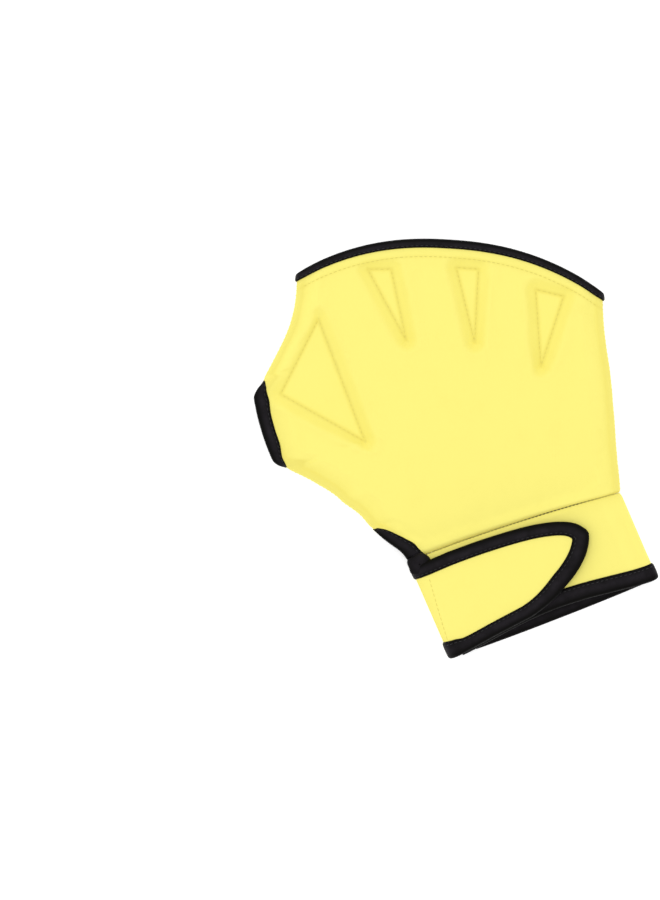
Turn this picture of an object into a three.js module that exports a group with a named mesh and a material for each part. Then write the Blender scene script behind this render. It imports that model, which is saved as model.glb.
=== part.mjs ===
// Open-fingered webbed swim glove, right hand, lying on its palm. Millimetres, +Z up, +Y to the fingers.
// The back and palm panels face each other across a flat hollow. They meet at round side folds, and
// are apart at the finger mouth, the thumb hole, the wrist slit and the cuff. Webs between the fingers
// are sewn flat. Black tape binds every cut edge, and a strap closes the band at the wrist.

import * as THREE from 'three';

// Driving sizes
const palmWidth = 152;        // across the finger edge, from fold to fold
const handLength = 160;       // from the wrist seam to the crown of the finger edge
const thumbReach = 22;        // how far the thumb hole stands out past the index side
const fingerCrown = 21;       // rise of the finger edge over its corners
const cuffLength = 47;        // from the wrist seam to the hem
const cuffFlare = 18.5;       // how far the hem stands out past the wrist on the little-finger side
const wall = 1.8;             // thickness of the cloth
const foldRadius = 3.5;       // outside radius of the side folds
const mouthClear = 5.0;       // clear height between the tapes of an opening
const crestHeight = 14.2;     // outside height at the middle of the hand
const webFall = 7;            // run from a sewn web up to the full height of a finger channel
const crownRun = 9;           // run from a side fold up to the full height of the hand
const liftRun = 9;            // run over which the cloth comes down from a tape under it
const tapeWidth = 6.4;        // visible width of the binding tape
const fingerTapeWidth = 4.6;  // visible width of the tape round the finger mouth
const tapeThickness = 0.6;
const openLift = 0.7;         // share of closing over which a lip still has its full lift
const gap = 0.3;              // clearance between neighbouring pieces
const hemPeek = 5.5;          // how far the palm hem shows past the back hem, at most
const strapLap = 14;          // length of the strap's end under the palm
const strapDrop = 2.6;        // step down from the wrist seam to the strap's top edge
const padLength = 28;         // fastening pad, along the strap
const padWidth = 22;          // fastening pad, across the strap
const padPlace = 0.34;        // the pad's centre along the band, as a share of its width

// Sizes that follow from them
const tapeLeg = gap + tapeThickness;                             // what a tape adds over the cloth
const tapeDepth = tapeWidth - tapeLeg;                           // how deep a tape reaches over the cloth
const lipTop = tapeLeg + wall + tapeLeg + mouthClear + tapeLeg + wall;
const foldTop = 2 * foldRadius + gap;
const zoneLength = foldRadius * Math.PI / 2;                     // arc length of a quarter of a side fold
const strapUnder = lipTop + 2 * tapeLeg + gap;                   // underside of the tongue
const strapTop = strapUnder + wall;
const strapRadius = (strapTop - tapeLeg) / 2;                    // outside radius of the strap's fold
const halfWall = wall / 2;
const rimGap = 1.6 * gap;                                        // room past the cloth's cut edge, in a tape

// Outline rows from the wrist seam, at 0, to the finger edge, at 1. The x columns are shares of
// palmWidth, the y columns shares of handLength, and reach is a share of thumbReach that the left
// point adds. closed is 1 where the two panels meet in a side fold and 0 where they are open.
const outlineRows = [
  { at: 0.000, leftX: -0.164, reach: 0.00, leftY: -0.348, rightX: 0.534, rightY: -0.134, closed: 0.0 },
  { at: 0.035, leftX: -0.186, reach: 0.00, leftY: -0.322, rightX: 0.532, rightY: -0.114, closed: 0.0 },
  { at: 0.075, leftX: -0.223, reach: 0.00, leftY: -0.296, rightX: 0.530, rightY: -0.087, closed: 0.0 },
  { at: 0.100, leftX: -0.250, reach: 0.00, leftY: -0.276, rightX: 0.528, rightY: -0.071, closed: 0.0 },
  { at: 0.120, leftX: -0.274, reach: 0.00, leftY: -0.256, rightX: 0.527, rightY: -0.059, closed: 0.25 },
  { at: 0.131, leftX: -0.283, reach: 0.00, leftY: -0.246, rightX: 0.526, rightY: -0.052, closed: 0.65 },
  { at: 0.140, leftX: -0.291, reach: 0.00, leftY: -0.237, rightX: 0.525, rightY: -0.047, closed: 1.0 },
  { at: 0.175, leftX: -0.321, reach: 0.00, leftY: -0.204, rightX: 0.523, rightY: -0.025, closed: 1.0 },
  { at: 0.250, leftX: -0.387, reach: 0.00, leftY: -0.156, rightX: 0.519, rightY: 0.022, closed: 1.0 },
  { at: 0.345, leftX: -0.431, reach: 0.32, leftY: -0.099, rightX: 0.515, rightY: 0.082, closed: 1.0 },
  { at: 0.400, leftX: -0.473, reach: 0.50, leftY: -0.067, rightX: 0.512, rightY: 0.116, closed: 1.0 },
  { at: 0.415, leftX: -0.484, reach: 0.56, leftY: -0.059, rightX: 0.511, rightY: 0.126, closed: 0.6 },
  { at: 0.430, leftX: -0.491, reach: 0.66, leftY: -0.055, rightX: 0.510, rightY: 0.136, closed: 0.2 },
  { at: 0.445, leftX: -0.496, reach: 0.74, leftY: -0.042, rightX: 0.509, rightY: 0.145, closed: 0.0 },
  { at: 0.475, leftX: -0.500, reach: 0.80, leftY: -0.018, rightX: 0.508, rightY: 0.163, closed: 0.0 },
  { at: 0.540, leftX: -0.513, reach: 0.90, leftY: 0.054, rightX: 0.504, rightY: 0.204, closed: 0.0 },
  { at: 0.610, leftX: -0.520, reach: 0.99, leftY: 0.129, rightX: 0.499, rightY: 0.248, closed: 0.0 },
  { at: 0.640, leftX: -0.524, reach: 1.00, leftY: 0.161, rightX: 0.496, rightY: 0.266, closed: 0.0 },
  { at: 0.660, leftX: -0.522, reach: 0.96, leftY: 0.184, rightX: 0.494, rightY: 0.279, closed: 0.0 },
  { at: 0.680, leftX: -0.520, reach: 0.85, leftY: 0.209, rightX: 0.492, rightY: 0.291, closed: 0.25 },
  { at: 0.690, leftX: -0.520, reach: 0.81, leftY: 0.219, rightX: 0.491, rightY: 0.297, closed: 0.65 },
  { at: 0.698, leftX: -0.520, reach: 0.78, leftY: 0.227, rightX: 0.490, rightY: 0.302, closed: 1.0 },
  { at: 0.750, leftX: -0.520, reach: 0.58, leftY: 0.279, rightX: 0.486, rightY: 0.332, closed: 1.0 },
  { at: 0.810, leftX: -0.520, reach: 0.35, leftY: 0.342, rightX: 0.481, rightY: 0.369, closed: 1.0 },
  { at: 0.870, leftX: -0.523, reach: 0.16, leftY: 0.404, rightX: 0.478, rightY: 0.406, closed: 1.0 },
  { at: 0.925, leftX: -0.524, reach: 0.06, leftY: 0.464, rightX: 0.476, rightY: 0.441, closed: 1.0 },
  { at: 1.000, leftX: -0.526, reach: 0.00, leftY: 0.550, rightX: 0.474, rightY: 0.490, closed: 1.0 },
];

// Where each end of the hem lies from the same end of the wrist seam, as shares of cuffFlare and
// cuffLength.
const cuffEnds = {
  left: { out: 1.15, down: 1.037 },
  right: { out: 1.0, down: 0.915 },
};

// How far each kind of row bows over the straight line between its ends, as shares of fingerCrown.
const bows = { hem: -0.05, seam: 0.09, mouth: 1.0 };
const bowPower = 2.3;     // a high power keeps the middle of a bow flat
const peekPower = 1.2;    // the same for the palm hem that shows past the back hem

// How full the hand is, from the hem, at -1, to the finger edge, at 1, as a share of the crest's rise.
const fullness = [
  { at: -1.0, share: 0.00 },
  { at: 0.0, share: 0.00 },
  { at: 0.2, share: 0.70 },
  { at: 0.4, share: 1.00 },
  { at: 0.6, share: 0.80 },
  { at: 0.85, share: 0.25 },
  { at: 1.0, share: 0.00 },
];

// Sewn webs, each a triangle. The x columns are shares of palmWidth, the y columns of handLength.
const webs = {
  thumb: { ax: -0.457, ay: 0.405, bx: -0.581, by: 0.171, cx: -0.305, cy: 0.024 },
  index: { ax: -0.296, ay: 0.560, bx: -0.219, by: 0.560, cx: -0.170, cy: 0.339 },
  middle: { ax: -0.006, ay: 0.565, bx: 0.067, by: 0.560, cx: 0.054, cy: 0.332 },
  ring: { ax: 0.254, ay: 0.497, bx: 0.346, by: 0.476, cx: 0.271, cy: 0.258 },
};

// The tongue's crosswise lines, from its fold to its tip. top and hem are how far along the row's
// width the line's two ends are. dip is how far its top end falls and rise how far its hem end
// stands off the hem, as shares of the cuff.
const tongueLines = [
  { top: 0.17, hem: 0.14, dip: -0.010, rise: 0.000 },
  { top: 0.30, hem: 0.22, dip: -0.012, rise: 0.000 },
  { top: 0.43, hem: 0.30, dip: -0.008, rise: 0.000 },
  { top: 0.54, hem: 0.39, dip: 0.003, rise: 0.004 },
  { top: 0.64, hem: 0.47, dip: 0.032, rise: 0.036 },
  { top: 0.72, hem: 0.54, dip: 0.085, rise: 0.092 },
  { top: 0.785, hem: 0.605, dip: 0.185, rise: 0.170 },
];
const tipBulge = 0.036;  // how far the tongue's end bows out, as a share of the row's width

// Stations of the tapes at the thumb hole and the wrist slit. deep is the share of the full depth.
const thumbTape = [
  { at: 0.430, deep: 2 / 3 },
  { at: 0.445, deep: 1.0 },
  { at: 0.475, deep: 1.0 },
  { at: 0.540, deep: 1.0 },
  { at: 0.610, deep: 1.0 },
  { at: 0.640, deep: 1.0 },
  { at: 0.660, deep: 1.0 },
  { at: 0.680, deep: 1 / 3 },
];
const slitTape = [
  { at: -(strapDrop - gap) / cuffLength, deep: 1.0 },
  { at: 0.035, deep: 1.0 },
  { at: 0.075, deep: 1.0 },
  { at: 0.100, deep: 1.0 },
  { at: 0.120, deep: 1 / 3 },
];

// Small numeric helpers
const clamp01 = (x) => Math.min(1, Math.max(0, x));
const mix = (a, b, t) => a + (b - a) * t;
const ease = (x) => {
  const t = clamp01(x);
  return t * t * (3 - 2 * t);
};

function fromTable(table, column, at) {
  const last = table.length - 1;
  if (at <= table[0].at) return table[0][column];
  if (at >= table[last].at) return table[last][column];
  const next = table.findIndex((row) => row.at > at);
  const low = table[next - 1];
  const high = table[next];
  return mix(low[column], high[column], (at - low.at) / (high.at - low.at));
}

const cuffStep = (end) => new THREE.Vector2(cuffEnds[end].out * cuffFlare, -cuffEnds[end].down * cuffLength);

// The left and right ends of the row at a place between the hem, -1, and the finger edge, 1.
function rowEnds(at) {
  const hand = Math.max(at, 0);
  const left = new THREE.Vector2(
    fromTable(outlineRows, 'leftX', hand) * palmWidth - fromTable(outlineRows, 'reach', hand) * thumbReach,
    fromTable(outlineRows, 'leftY', hand) * handLength,
  );
  const right = new THREE.Vector2(
    fromTable(outlineRows, 'rightX', hand) * palmWidth,
    fromTable(outlineRows, 'rightY', hand) * handLength,
  );
  const down = Math.max(-at, 0);
  left.add(cuffStep('left').multiplyScalar(down));
  right.add(cuffStep('right').multiplyScalar(down));
  return { left, right };
}

const bowShare = (at) => (at > 0 ? mix(bows.seam, bows.mouth, at * at) : mix(bows.seam, bows.hem, -at));

// The outline's direction at a row's end, from the hem to the fingers, as a unit vector.
function edgeDirection(at, end) {
  const step = 0.012;  // a short way along the hand, enough to even out the table's corners
  const low = rowEnds(Math.max(at - step, -1))[end];
  const high = rowEnds(Math.min(at + step, 1))[end];
  return high.sub(low).normalize();
}

// A point of the plan, a distance along the row that starts at its left end.
function planPoint(distance, at) {
  const { left, right } = rowEnds(at);
  const width = left.distanceTo(right);
  const share = distance / width;
  const bow = bowShare(at) * fingerCrown * (1 - Math.abs(2 * clamp01(share) - 1) ** bowPower);
  const point = left.clone().lerp(right, share);
  point.y += bow;
  return point;
}

function rowWidth(at) {
  const { left, right } = rowEnds(at);
  return left.distanceTo(right);
}

// How far the row travels for a whole step of its place, in millimetres, at a share of its width.
function rowPace(share, at) {
  const step = 0.02;  // a short way in from the row
  const near = at > 0 ? at - step : at + step;
  const here = planPoint(share * rowWidth(at), at);
  const there = planPoint(share * rowWidth(near), near);
  return here.distanceTo(there) / step;
}

// The sewn share of the cloth at a plan point: 1 in a web, 0 in a channel.
function webShare(x, y) {
  let nearest = Infinity;
  for (const web of Object.values(webs)) {
    const corners = [[web.ax, web.ay], [web.bx, web.by], [web.cx, web.cy]]
      .map(([cx, cy]) => new THREE.Vector3(cx * palmWidth, cy * handLength, 0));
    const triangle = new THREE.Triangle(...corners);
    const point = new THREE.Vector3(x, y, 0);
    nearest = Math.min(nearest, triangle.closestPointToPoint(point, new THREE.Vector3()).distanceTo(point));
  }
  return 1 - ease(nearest / webFall);
}

// How much the cloth is lifted by a tape under it at the finger mouth or the hem.
function mouthLift(share, at) {
  const edge = at > 0 ? 1 : -1;
  const depth = Math.abs(edge - at) * rowPace(share, edge);
  return tapeLeg * (1 - ease((depth - tapeWidth) / liftRun));
}

const leastSlant = 0.55;    // the steepest that an edge may cross its rows
const leastClosed = 0.001;  // stands for 0 where a fold's radius is divided by it

// A point of the outer face and its outward normal. side is 1 on the back and -1 on the palm.
// column is { left: s } or { right: s } in the strip next to a row's end, with s from 0 at the
// cloth's edge to 1, or { middle: s }, from 0 to 1 between the two strips.
function skin(side, column, at) {
  const width = rowWidth(at);
  const ends = {};
  for (const end of ['left', 'right']) {
    const closed = end === 'left' ? fromTable(outlineRows, 'closed', at) : 1;
    const rowAway = rowEnds(at).right.sub(rowEnds(at).left).normalize();
    const edge = edgeDirection(at, end);
    const slant = Math.max(Math.abs(rowAway.cross(edge)), leastSlant);
    const curve = Math.max(closed, leastClosed);
    const angle = curve * Math.PI / 2;
    const radius = foldRadius / curve;
    const setback = tapeLeg * (1 - closed);
    ends[end] = { closed, slant, angle, radius, setback, edge };
    ends[end].reach = (setback + radius * Math.sin(angle)) / slant;
    ends[end].lift = tapeLeg * clamp01((1 - closed) / openLift);
  }
  const normal = new THREE.Vector3(0, 0, side);
  let distance;
  let drop = 0;
  const end = 'right' in column ? 'right' : 'left';
  if ('middle' in column) {
    distance = mix(ends.left.reach, width - ends.right.reach, column.middle);
  } else {
    const { slant, angle, radius, setback, edge } = ends[end];
    const turn = angle * (1 - column[end]);
    const inward = (setback + radius * (Math.sin(angle) - Math.sin(turn))) / slant;
    distance = end === 'left' ? inward : width - inward;
    drop = radius * (1 - Math.cos(turn));
    const outward = new THREE.Vector2(edge.y, -edge.x).multiplyScalar(end === 'left' ? -1 : 1);
    normal.set(outward.x * Math.sin(turn), outward.y * Math.sin(turn), side * Math.cos(turn));
  }
  const share = clamp01(distance / width);
  const point = planPoint(distance, at);
  const lift = mouthLift(share, at);
  const fade = (d) => 1 - ease(d / liftRun);
  const leftLift = ends.left.lift * fade(distance - ends.left.reach);
  const palm = Math.max(lift, leftLift);
  const topAtEnd = (e) => mix(lipTop, foldTop + lift, ends[e].closed);
  const base = mix(topAtEnd('left'), topAtEnd('right'), ease(share));
  const hump = (d) => ease(d / crownRun);
  const crest = mix(lipTop, crestHeight, fromTable(fullness, 'share', at));
  const rise = hump(distance - ends.left.reach) * hump(width - distance - ends.right.reach);
  const back = base + (crest - base) * rise;
  const clear = ease(((1 - at) * rowPace(share, 1) - fingerTapeWidth) / webFall);
  const pinch = clear * webShare(point.x, point.y) * (back - palm - 2 * wall - gap) / 2;
  const height = side > 0 ? back - pinch - drop : palm + pinch + drop;
  return { point: new THREE.Vector3(point.x, point.y, height), normal };
}

// The same point, a depth in millimetres away from the finger edge or the hem.
function skinFromMouth(side, column, edge, depth) {
  const share = 'left' in column ? 0 : ('right' in column ? 1 : column.middle);
  const at = edge - Math.sign(edge) * depth / rowPace(share, edge);
  return skin(side, column, at);
}

const inside = ({ point, normal }, depth) => point.clone().addScaledVector(normal, -depth);

// Closed solids

function meshFrom(points, faces, name, material) {
  const position = new Float32Array(points.flatMap((p) => [p.x, p.y, p.z]));
  const geometry = new THREE.BufferGeometry();
  geometry.setAttribute('position', new THREE.BufferAttribute(position, 3));
  let volume = 0;
  for (const [a, b, c] of faces) {
    volume += points[a].dot(new THREE.Vector3().crossVectors(points[b], points[c]));
  }
  const outward = volume < 0 ? faces.map(([a, b, c]) => [a, c, b]) : faces;
  geometry.setIndex(outward.flat());
  geometry.computeVertexNormals();
  const mesh = new THREE.Mesh(geometry, material);
  mesh.name = name;
  return mesh;
}

// A wall between two grids of points, the outer face and the inner face, closed round its rim.
function wallSolid(outer, inner, name, material) {
  const rows = outer.length;
  const columns = outer[0].length;
  const points = [...outer.flat(), ...inner.flat()];
  const faces = [];
  const at = (layer, i, j) => (layer * rows + i) * columns + j;
  const quad = (a, b, c, d) => faces.push([a, b, c], [a, c, d]);
  for (let i = 0; i + 1 < rows; i += 1) {
    for (let j = 0; j + 1 < columns; j += 1) {
      quad(at(0, i, j), at(0, i, j + 1), at(0, i + 1, j + 1), at(0, i + 1, j));
      quad(at(1, i, j), at(1, i + 1, j), at(1, i + 1, j + 1), at(1, i, j + 1));
    }
  }
  for (let j = 0; j + 1 < columns; j += 1) {
    quad(at(0, 0, j + 1), at(0, 0, j), at(1, 0, j), at(1, 0, j + 1));
    quad(at(0, rows - 1, j), at(0, rows - 1, j + 1), at(1, rows - 1, j + 1), at(1, rows - 1, j));
  }
  for (let i = 0; i + 1 < rows; i += 1) {
    quad(at(0, i, 0), at(0, i + 1, 0), at(1, i + 1, 0), at(1, i, 0));
    quad(at(0, i + 1, columns - 1), at(0, i, columns - 1), at(1, i, columns - 1), at(1, i + 1, columns - 1));
  }
  return meshFrom(points, faces, name, material);
}

// A tape folded over a cloth edge, its outer corners cut back at the bend. Each station holds the
// cloth's middle at its edge and at the tape's depth, the outward normals there, and the direction
// out past the edge.
function tapeSolid(stations, closedLoop, name, material) {
  const low = halfWall + gap;
  const high = halfWall + tapeLeg;
  const bend = 0.75 * high;
  const sections = stations.map(({ edge, deep, normal, deepNormal, past }) => {
    const on = (base, up, out) => base.clone().addScaledVector(out, up);
    const beyond = (distance, up) => on(edge, up, normal).addScaledVector(past, distance);
    return [
      on(deep, low, deepNormal),
      on(deep, high, deepNormal),
      on(edge, high, normal),
      beyond(tapeLeg, bend),
      beyond(tapeLeg, -bend),
      on(edge, -high, normal),
      on(deep, -high, deepNormal),
      on(deep, -low, deepNormal),
      beyond(rimGap, -low),
      beyond(rimGap, low),
    ];
  });
  const size = sections[0].length;
  const count = sections.length;
  const faces = [];
  const spans = closedLoop ? count : count - 1;
  for (let i = 0; i < spans; i += 1) {
    const here = i * size;
    const next = ((i + 1) % count) * size;
    for (let j = 0; j < size; j += 1) {
      const k = (j + 1) % size;
      faces.push([here + j, here + k, next + k], [here + j, next + k, next + j]);
    }
  }
  if (!closedLoop) {
    const cap = [[0, 1, 2], [0, 2, 9], [2, 3, 9], [3, 4, 9], [4, 8, 9], [4, 5, 8], [5, 6, 7], [5, 7, 8]];
    const end = (count - 1) * size;
    for (const [a, b, c] of cap) {
      faces.push([a, c, b], [end + a, end + b, end + c]);
    }
  }
  return meshFrom(sections.flat(), faces, name, material);
}

// Materials
const cloth = () => new THREE.MeshStandardMaterial({ color: 0xfaf37f, roughness: 0.85, metalness: 0 });
const tape = () => new THREE.MeshStandardMaterial({ color: 0x17161b, roughness: 0.55, metalness: 0 });
const hooks = () => new THREE.MeshStandardMaterial({ color: 0x202022, roughness: 0.9, metalness: 0 });

// Columns of a panel, from the left edge to the right edge
const strip = [0, 1 / 3, 2 / 3];
const middleShares = [
  0, 0.045, 0.09, 0.14, 0.19, 0.23, 0.265, 0.30, 0.335, 0.37, 0.41, 0.45, 0.49, 0.525,
  0.56, 0.595, 0.63, 0.67, 0.71, 0.75, 0.785, 0.82, 0.855, 0.89, 0.945, 1,
];
const middleColumns = middleShares.map((middle) => ({ middle }));
const leftColumns = strip.map((left) => ({ left }));
const rightColumns = strip.map((right) => ({ right })).reverse();
const panelColumns = [...leftColumns, ...middleColumns, ...rightColumns];

// Panels

const seamGap = gap / 2;
const seamPace = 0.9 * handLength;  // how far the rows travel for a whole step of place at the seam
const extraPlaces = [0.30, 0.715, 0.9];
const rowPlaces = [...outlineRows.slice(1, -1).map((row) => row.at), ...extraPlaces].sort((a, b) => a - b);

function panelRow(side, place) {
  return panelColumns.map((column) => place(side, column));
}

function panel(side, name) {
  const fromSeam = (depth) => (s, column) => skin(s, column, depth / seamPace);
  const fromMouth = (depth) => (s, column) => skinFromMouth(s, column, 1, depth);
  const rows = [
    panelRow(side, fromSeam(seamGap)),
    ...rowPlaces.map((at) => panelRow(side, (s, column) => skin(s, column, at))),
    panelRow(side, fromMouth(fingerTapeWidth)),
    panelRow(side, fromMouth(tapeLeg)),
  ];
  const outer = rows.map((row) => row.map(({ point }) => point));
  const inner = rows.map((row) => row.map((place) => inside(place, wall)));
  return wallSolid(outer, inner, name, cloth());
}

// The tape round the finger mouth, one ring over both lips

function tapeStation(rim, far) {
  const edge = inside(rim, halfWall);
  const deep = inside(far, halfWall);
  const past = edge.clone().sub(deep).normalize();
  return { edge, deep, normal: rim.normal, deepNormal: far.normal, past };
}

function mouthStation(side, column, edge, width, out) {
  const rim = skinFromMouth(side, column, edge, out + tapeLeg);
  const far = skinFromMouth(side, column, edge, out + width);
  return tapeStation(rim, far);
}

function fingerBinding() {
  const back = panelColumns.map((column) => mouthStation(1, column, 1, fingerTapeWidth, 0));
  const palm = panelColumns.map((column) => mouthStation(-1, column, 1, fingerTapeWidth, 0)).reverse();
  return tapeSolid([...back, ...palm], true, 'finger_binding', tape());
}

// The tapes along the left edge of a panel, at the thumb hole and the wrist slit

function sideBinding(side, places, name) {
  const stations = places.map(({ at, deep }) => {
    const rim = skin(side, { left: 0 }, at);
    const far = skin(side, { left: deep }, at);
    return tapeStation(rim, far);
  });
  return tapeSolid(stations, false, name, tape());
}

// Cuff

// How far the back hem lies inside the palm hem, at a share of the row's width.
const peekAt = (share) => hemPeek * Math.sin(Math.PI * clamp01(share)) ** peekPower;

const midCuff = -0.5;
const cuffPlaces = [0, 0.2, 0.4, 0.6, 0.76];
const backShares = [0, 0.12, 0.24, 0.36, 0.48, 0.58, 0.68, 0.76, 0.84, 0.9, 0.95, 1];
const palmShares = [0, 0.15, 0.3, 0.45, 0.6, 0.75, 0.88, 1];

// The band's columns run from its hidden back end over the little-finger fold to the strap's lap.
function bandColumns() {
  const { left, right } = rowEnds(midCuff);
  const span = left.distanceTo(right) - tapeLeg - zoneLength - foldRadius;
  const lapShare = (strapLap - tapeLeg - zoneLength) / span;
  return [
    ...backShares.map((middle) => [1, { middle }]),
    ...rightColumns.map((column) => [1, column]),
    ...[...rightColumns].reverse().map((column) => [-1, column]),
    ...[...palmShares].reverse().map((share) => [-1, { middle: mix(lapShare, 1, share) }]),
  ];
}

function peekOf(side, column) {
  return side > 0 && 'middle' in column ? peekAt(column.middle) : 0;
}

function wristBand() {
  const columns = bandColumns();
  const bySeam = columns.map(([side, column]) => skin(side, column, -seamGap / cuffLength));
  const byPlace = cuffPlaces.slice(1).map((place) => columns.map(([side, column]) => (
    skin(side, column, -place * (1 - peekOf(side, column) / cuffLength))
  )));
  const byHem = [tapeWidth, tapeLeg].map((depth) => columns.map(([side, column]) => (
    skinFromMouth(side, column, -1, depth + peekOf(side, column))
  )));
  const rows = [bySeam, ...byPlace, ...byHem];
  const outer = rows.map((row) => row.map(({ point }) => point));
  const inner = rows.map((row) => row.map((place) => inside(place, wall)));
  return wallSolid(outer, inner, 'wrist_band', cloth());
}

function hemBinding() {
  const stations = bandColumns().map(([side, column]) => (
    mouthStation(side, column, -1, tapeWidth, peekOf(side, column))
  ));
  return tapeSolid(stations, false, 'hem_binding', tape());
}

// Strap: a short lap under the palm, a round fold at the thumb side, and the tongue over the band

const foldTurns = [-90, -60, -30, 0, 30, 60, 90];
const crossShares = [0, 0.25, 0.5, 0.75, 1];

// How far down the cuff a strap point is, from its hem edge, at cross 0, to its top edge, at 1.
function strapDown(along, dip, rise, cross) {
  const hem = 1 - (peekAt(along) + tapeLeg) / cuffLength - rise;
  const top = (strapDrop + tapeLeg) / cuffLength + dip;
  return mix(hem, top, cross);
}

function strapFoldPoint(turn, away, cross) {
  const inward = strapRadius * (1 - Math.cos(turn));
  const down = strapDown(turn > 0 ? inward / rowWidth(midCuff) : 0, 0, 0, cross);
  const edge = edgeDirection(-down, 'left');
  const outward = new THREE.Vector2(-edge.y, edge.x);
  const normal = new THREE.Vector3(outward.x * Math.cos(turn), outward.y * Math.cos(turn), Math.sin(turn));
  const point = planPoint(inward + away, -down);
  const height = tapeLeg + strapRadius * (1 + Math.sin(turn));
  return { point: new THREE.Vector3(point.x, point.y, height), normal };
}

function tonguePoint(line, cross, bulge) {
  const along = mix(line.hem, line.top, cross) + bulge * 4 * cross * (1 - cross);
  const down = strapDown(along, line.dip, line.rise, cross);
  const point = planPoint(along * rowWidth(-down), -down);
  return { point: new THREE.Vector3(point.x, point.y, strapTop), normal: new THREE.Vector3(0, 0, 1) };
}

function strapLines() {
  const lapEnd = strapLap - 2 * gap - strapRadius;
  const lap = [lapEnd, lapEnd / 2].map((away) => crossShares.map((cross) => (
    strapFoldPoint(-Math.PI / 2, away, cross)
  )));
  const fold = foldTurns.map((degrees) => crossShares.map((cross) => (
    strapFoldPoint(THREE.MathUtils.degToRad(degrees), 0, cross)
  )));
  const last = tongueLines.length - 1;
  const tongue = tongueLines.map((line, i) => crossShares.map((cross) => (
    tonguePoint(line, cross, i === last ? tipBulge : 0)
  )));
  return [...lap, ...fold, ...tongue];
}

function strap() {
  const lines = strapLines();
  const outer = lines.map((line) => line.map(({ point }) => point));
  const inner = lines.map((line) => line.map((place) => inside(place, wall)));
  return wallSolid(outer, inner, 'strap', cloth());
}

// The tape follows the strap's rim: the top edge, the tip and the hem edge, mitred at each corner.
function strapBinding() {
  const lines = strapLines();
  const top = crossShares.length - 1;
  const rim = [
    ...lines.map((line) => line[top]),
    ...[...lines[lines.length - 1]].slice(1, top).reverse(),
    ...[...lines].reverse().map((line) => line[0]),
  ];
  const middles = rim.map((place) => inside(place, halfWall));
  const stations = rim.map(({ normal }, i) => {
    const before = middles[i].clone().sub(middles[Math.max(i - 1, 0)]);
    const after = middles[Math.min(i + 1, rim.length - 1)].clone().sub(middles[i]);
    const sides = [before, after].filter((step) => step.length() > 0)
      .map((step) => new THREE.Vector3().crossVectors(normal, step).normalize());
    const past = sides.reduce((sum, side) => sum.add(side), new THREE.Vector3()).normalize();
    past.divideScalar(past.dot(sides[0]));
    const deep = middles[i].clone().addScaledVector(past, -tapeDepth);
    return { edge: middles[i], deep, normal, deepNormal: normal, past };
  });
  return tapeSolid(stations, false, 'strap_binding', tape());
}

// The fastening pad under the tongue, a plain flat piece between it and the band.
function hookPad() {
  const centre = planPoint(padPlace * rowWidth(midCuff), midCuff);
  const { left, right } = rowEnds(midCuff);
  const thickness = strapUnder - lipTop - 2 * gap;
  const mesh = new THREE.Mesh(new THREE.BoxGeometry(padLength, padWidth, thickness), hooks());
  mesh.name = 'hook_pad';
  mesh.position.set(centre.x, centre.y, lipTop + gap + thickness / 2);
  mesh.rotation.z = Math.atan2(right.y - left.y, right.x - left.x);
  return mesh;
}

const glove = new THREE.Group();
glove.add(panel(1, 'back_panel'), panel(-1, 'palm_panel'), wristBand(), strap(), hookPad());
glove.add(fingerBinding(), hemBinding(), strapBinding());
glove.add(sideBinding(1, thumbTape, 'thumb_binding_back'), sideBinding(-1, thumbTape, 'thumb_binding_palm'));
glove.add(sideBinding(1, slitTape, 'slit_binding_back'), sideBinding(-1, slitTape, 'slit_binding_palm'));

const extent = new THREE.Box3().setFromObject(glove, true);
const middle = extent.getCenter(new THREE.Vector3());
glove.position.set(-middle.x, -middle.y, -extent.min.z);
glove.updateMatrixWorld(true);

export default glove;
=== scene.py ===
# %% [markdown]
# An open-fingered swim glove for the right hand, lying flat with the back of the hand up.
# The real thing is cut from thin foam-backed cloth. A back and a palm are sewn together round a flat
# hollow, the webs between the fingers are stitched flat, black tape binds every raw edge, and a strap
# closes the wrist. This lesson makes each of those pieces as a surface worked out with numpy.

import bpy
import numpy as np
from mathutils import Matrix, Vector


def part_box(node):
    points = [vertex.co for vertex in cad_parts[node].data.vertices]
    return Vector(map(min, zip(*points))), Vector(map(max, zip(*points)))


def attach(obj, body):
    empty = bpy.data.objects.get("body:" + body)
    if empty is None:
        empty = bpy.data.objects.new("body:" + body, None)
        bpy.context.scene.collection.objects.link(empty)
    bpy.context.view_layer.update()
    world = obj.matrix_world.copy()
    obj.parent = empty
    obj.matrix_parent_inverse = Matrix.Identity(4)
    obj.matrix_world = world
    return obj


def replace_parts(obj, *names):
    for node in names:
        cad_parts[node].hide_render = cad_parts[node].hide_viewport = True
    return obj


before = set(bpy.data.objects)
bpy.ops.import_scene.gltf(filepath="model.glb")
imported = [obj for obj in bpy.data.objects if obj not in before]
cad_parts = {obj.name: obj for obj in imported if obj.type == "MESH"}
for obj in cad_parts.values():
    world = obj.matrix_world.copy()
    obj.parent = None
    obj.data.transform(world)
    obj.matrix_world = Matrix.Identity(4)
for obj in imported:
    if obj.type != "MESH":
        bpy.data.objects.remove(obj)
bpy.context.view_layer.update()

# %% [markdown]
# Every size is a real one, in metres. A glove maker would start from the same few: the width across
# the knuckles, the length of the hand, the cuff, the cloth's thickness and the width of the tape.

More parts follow.
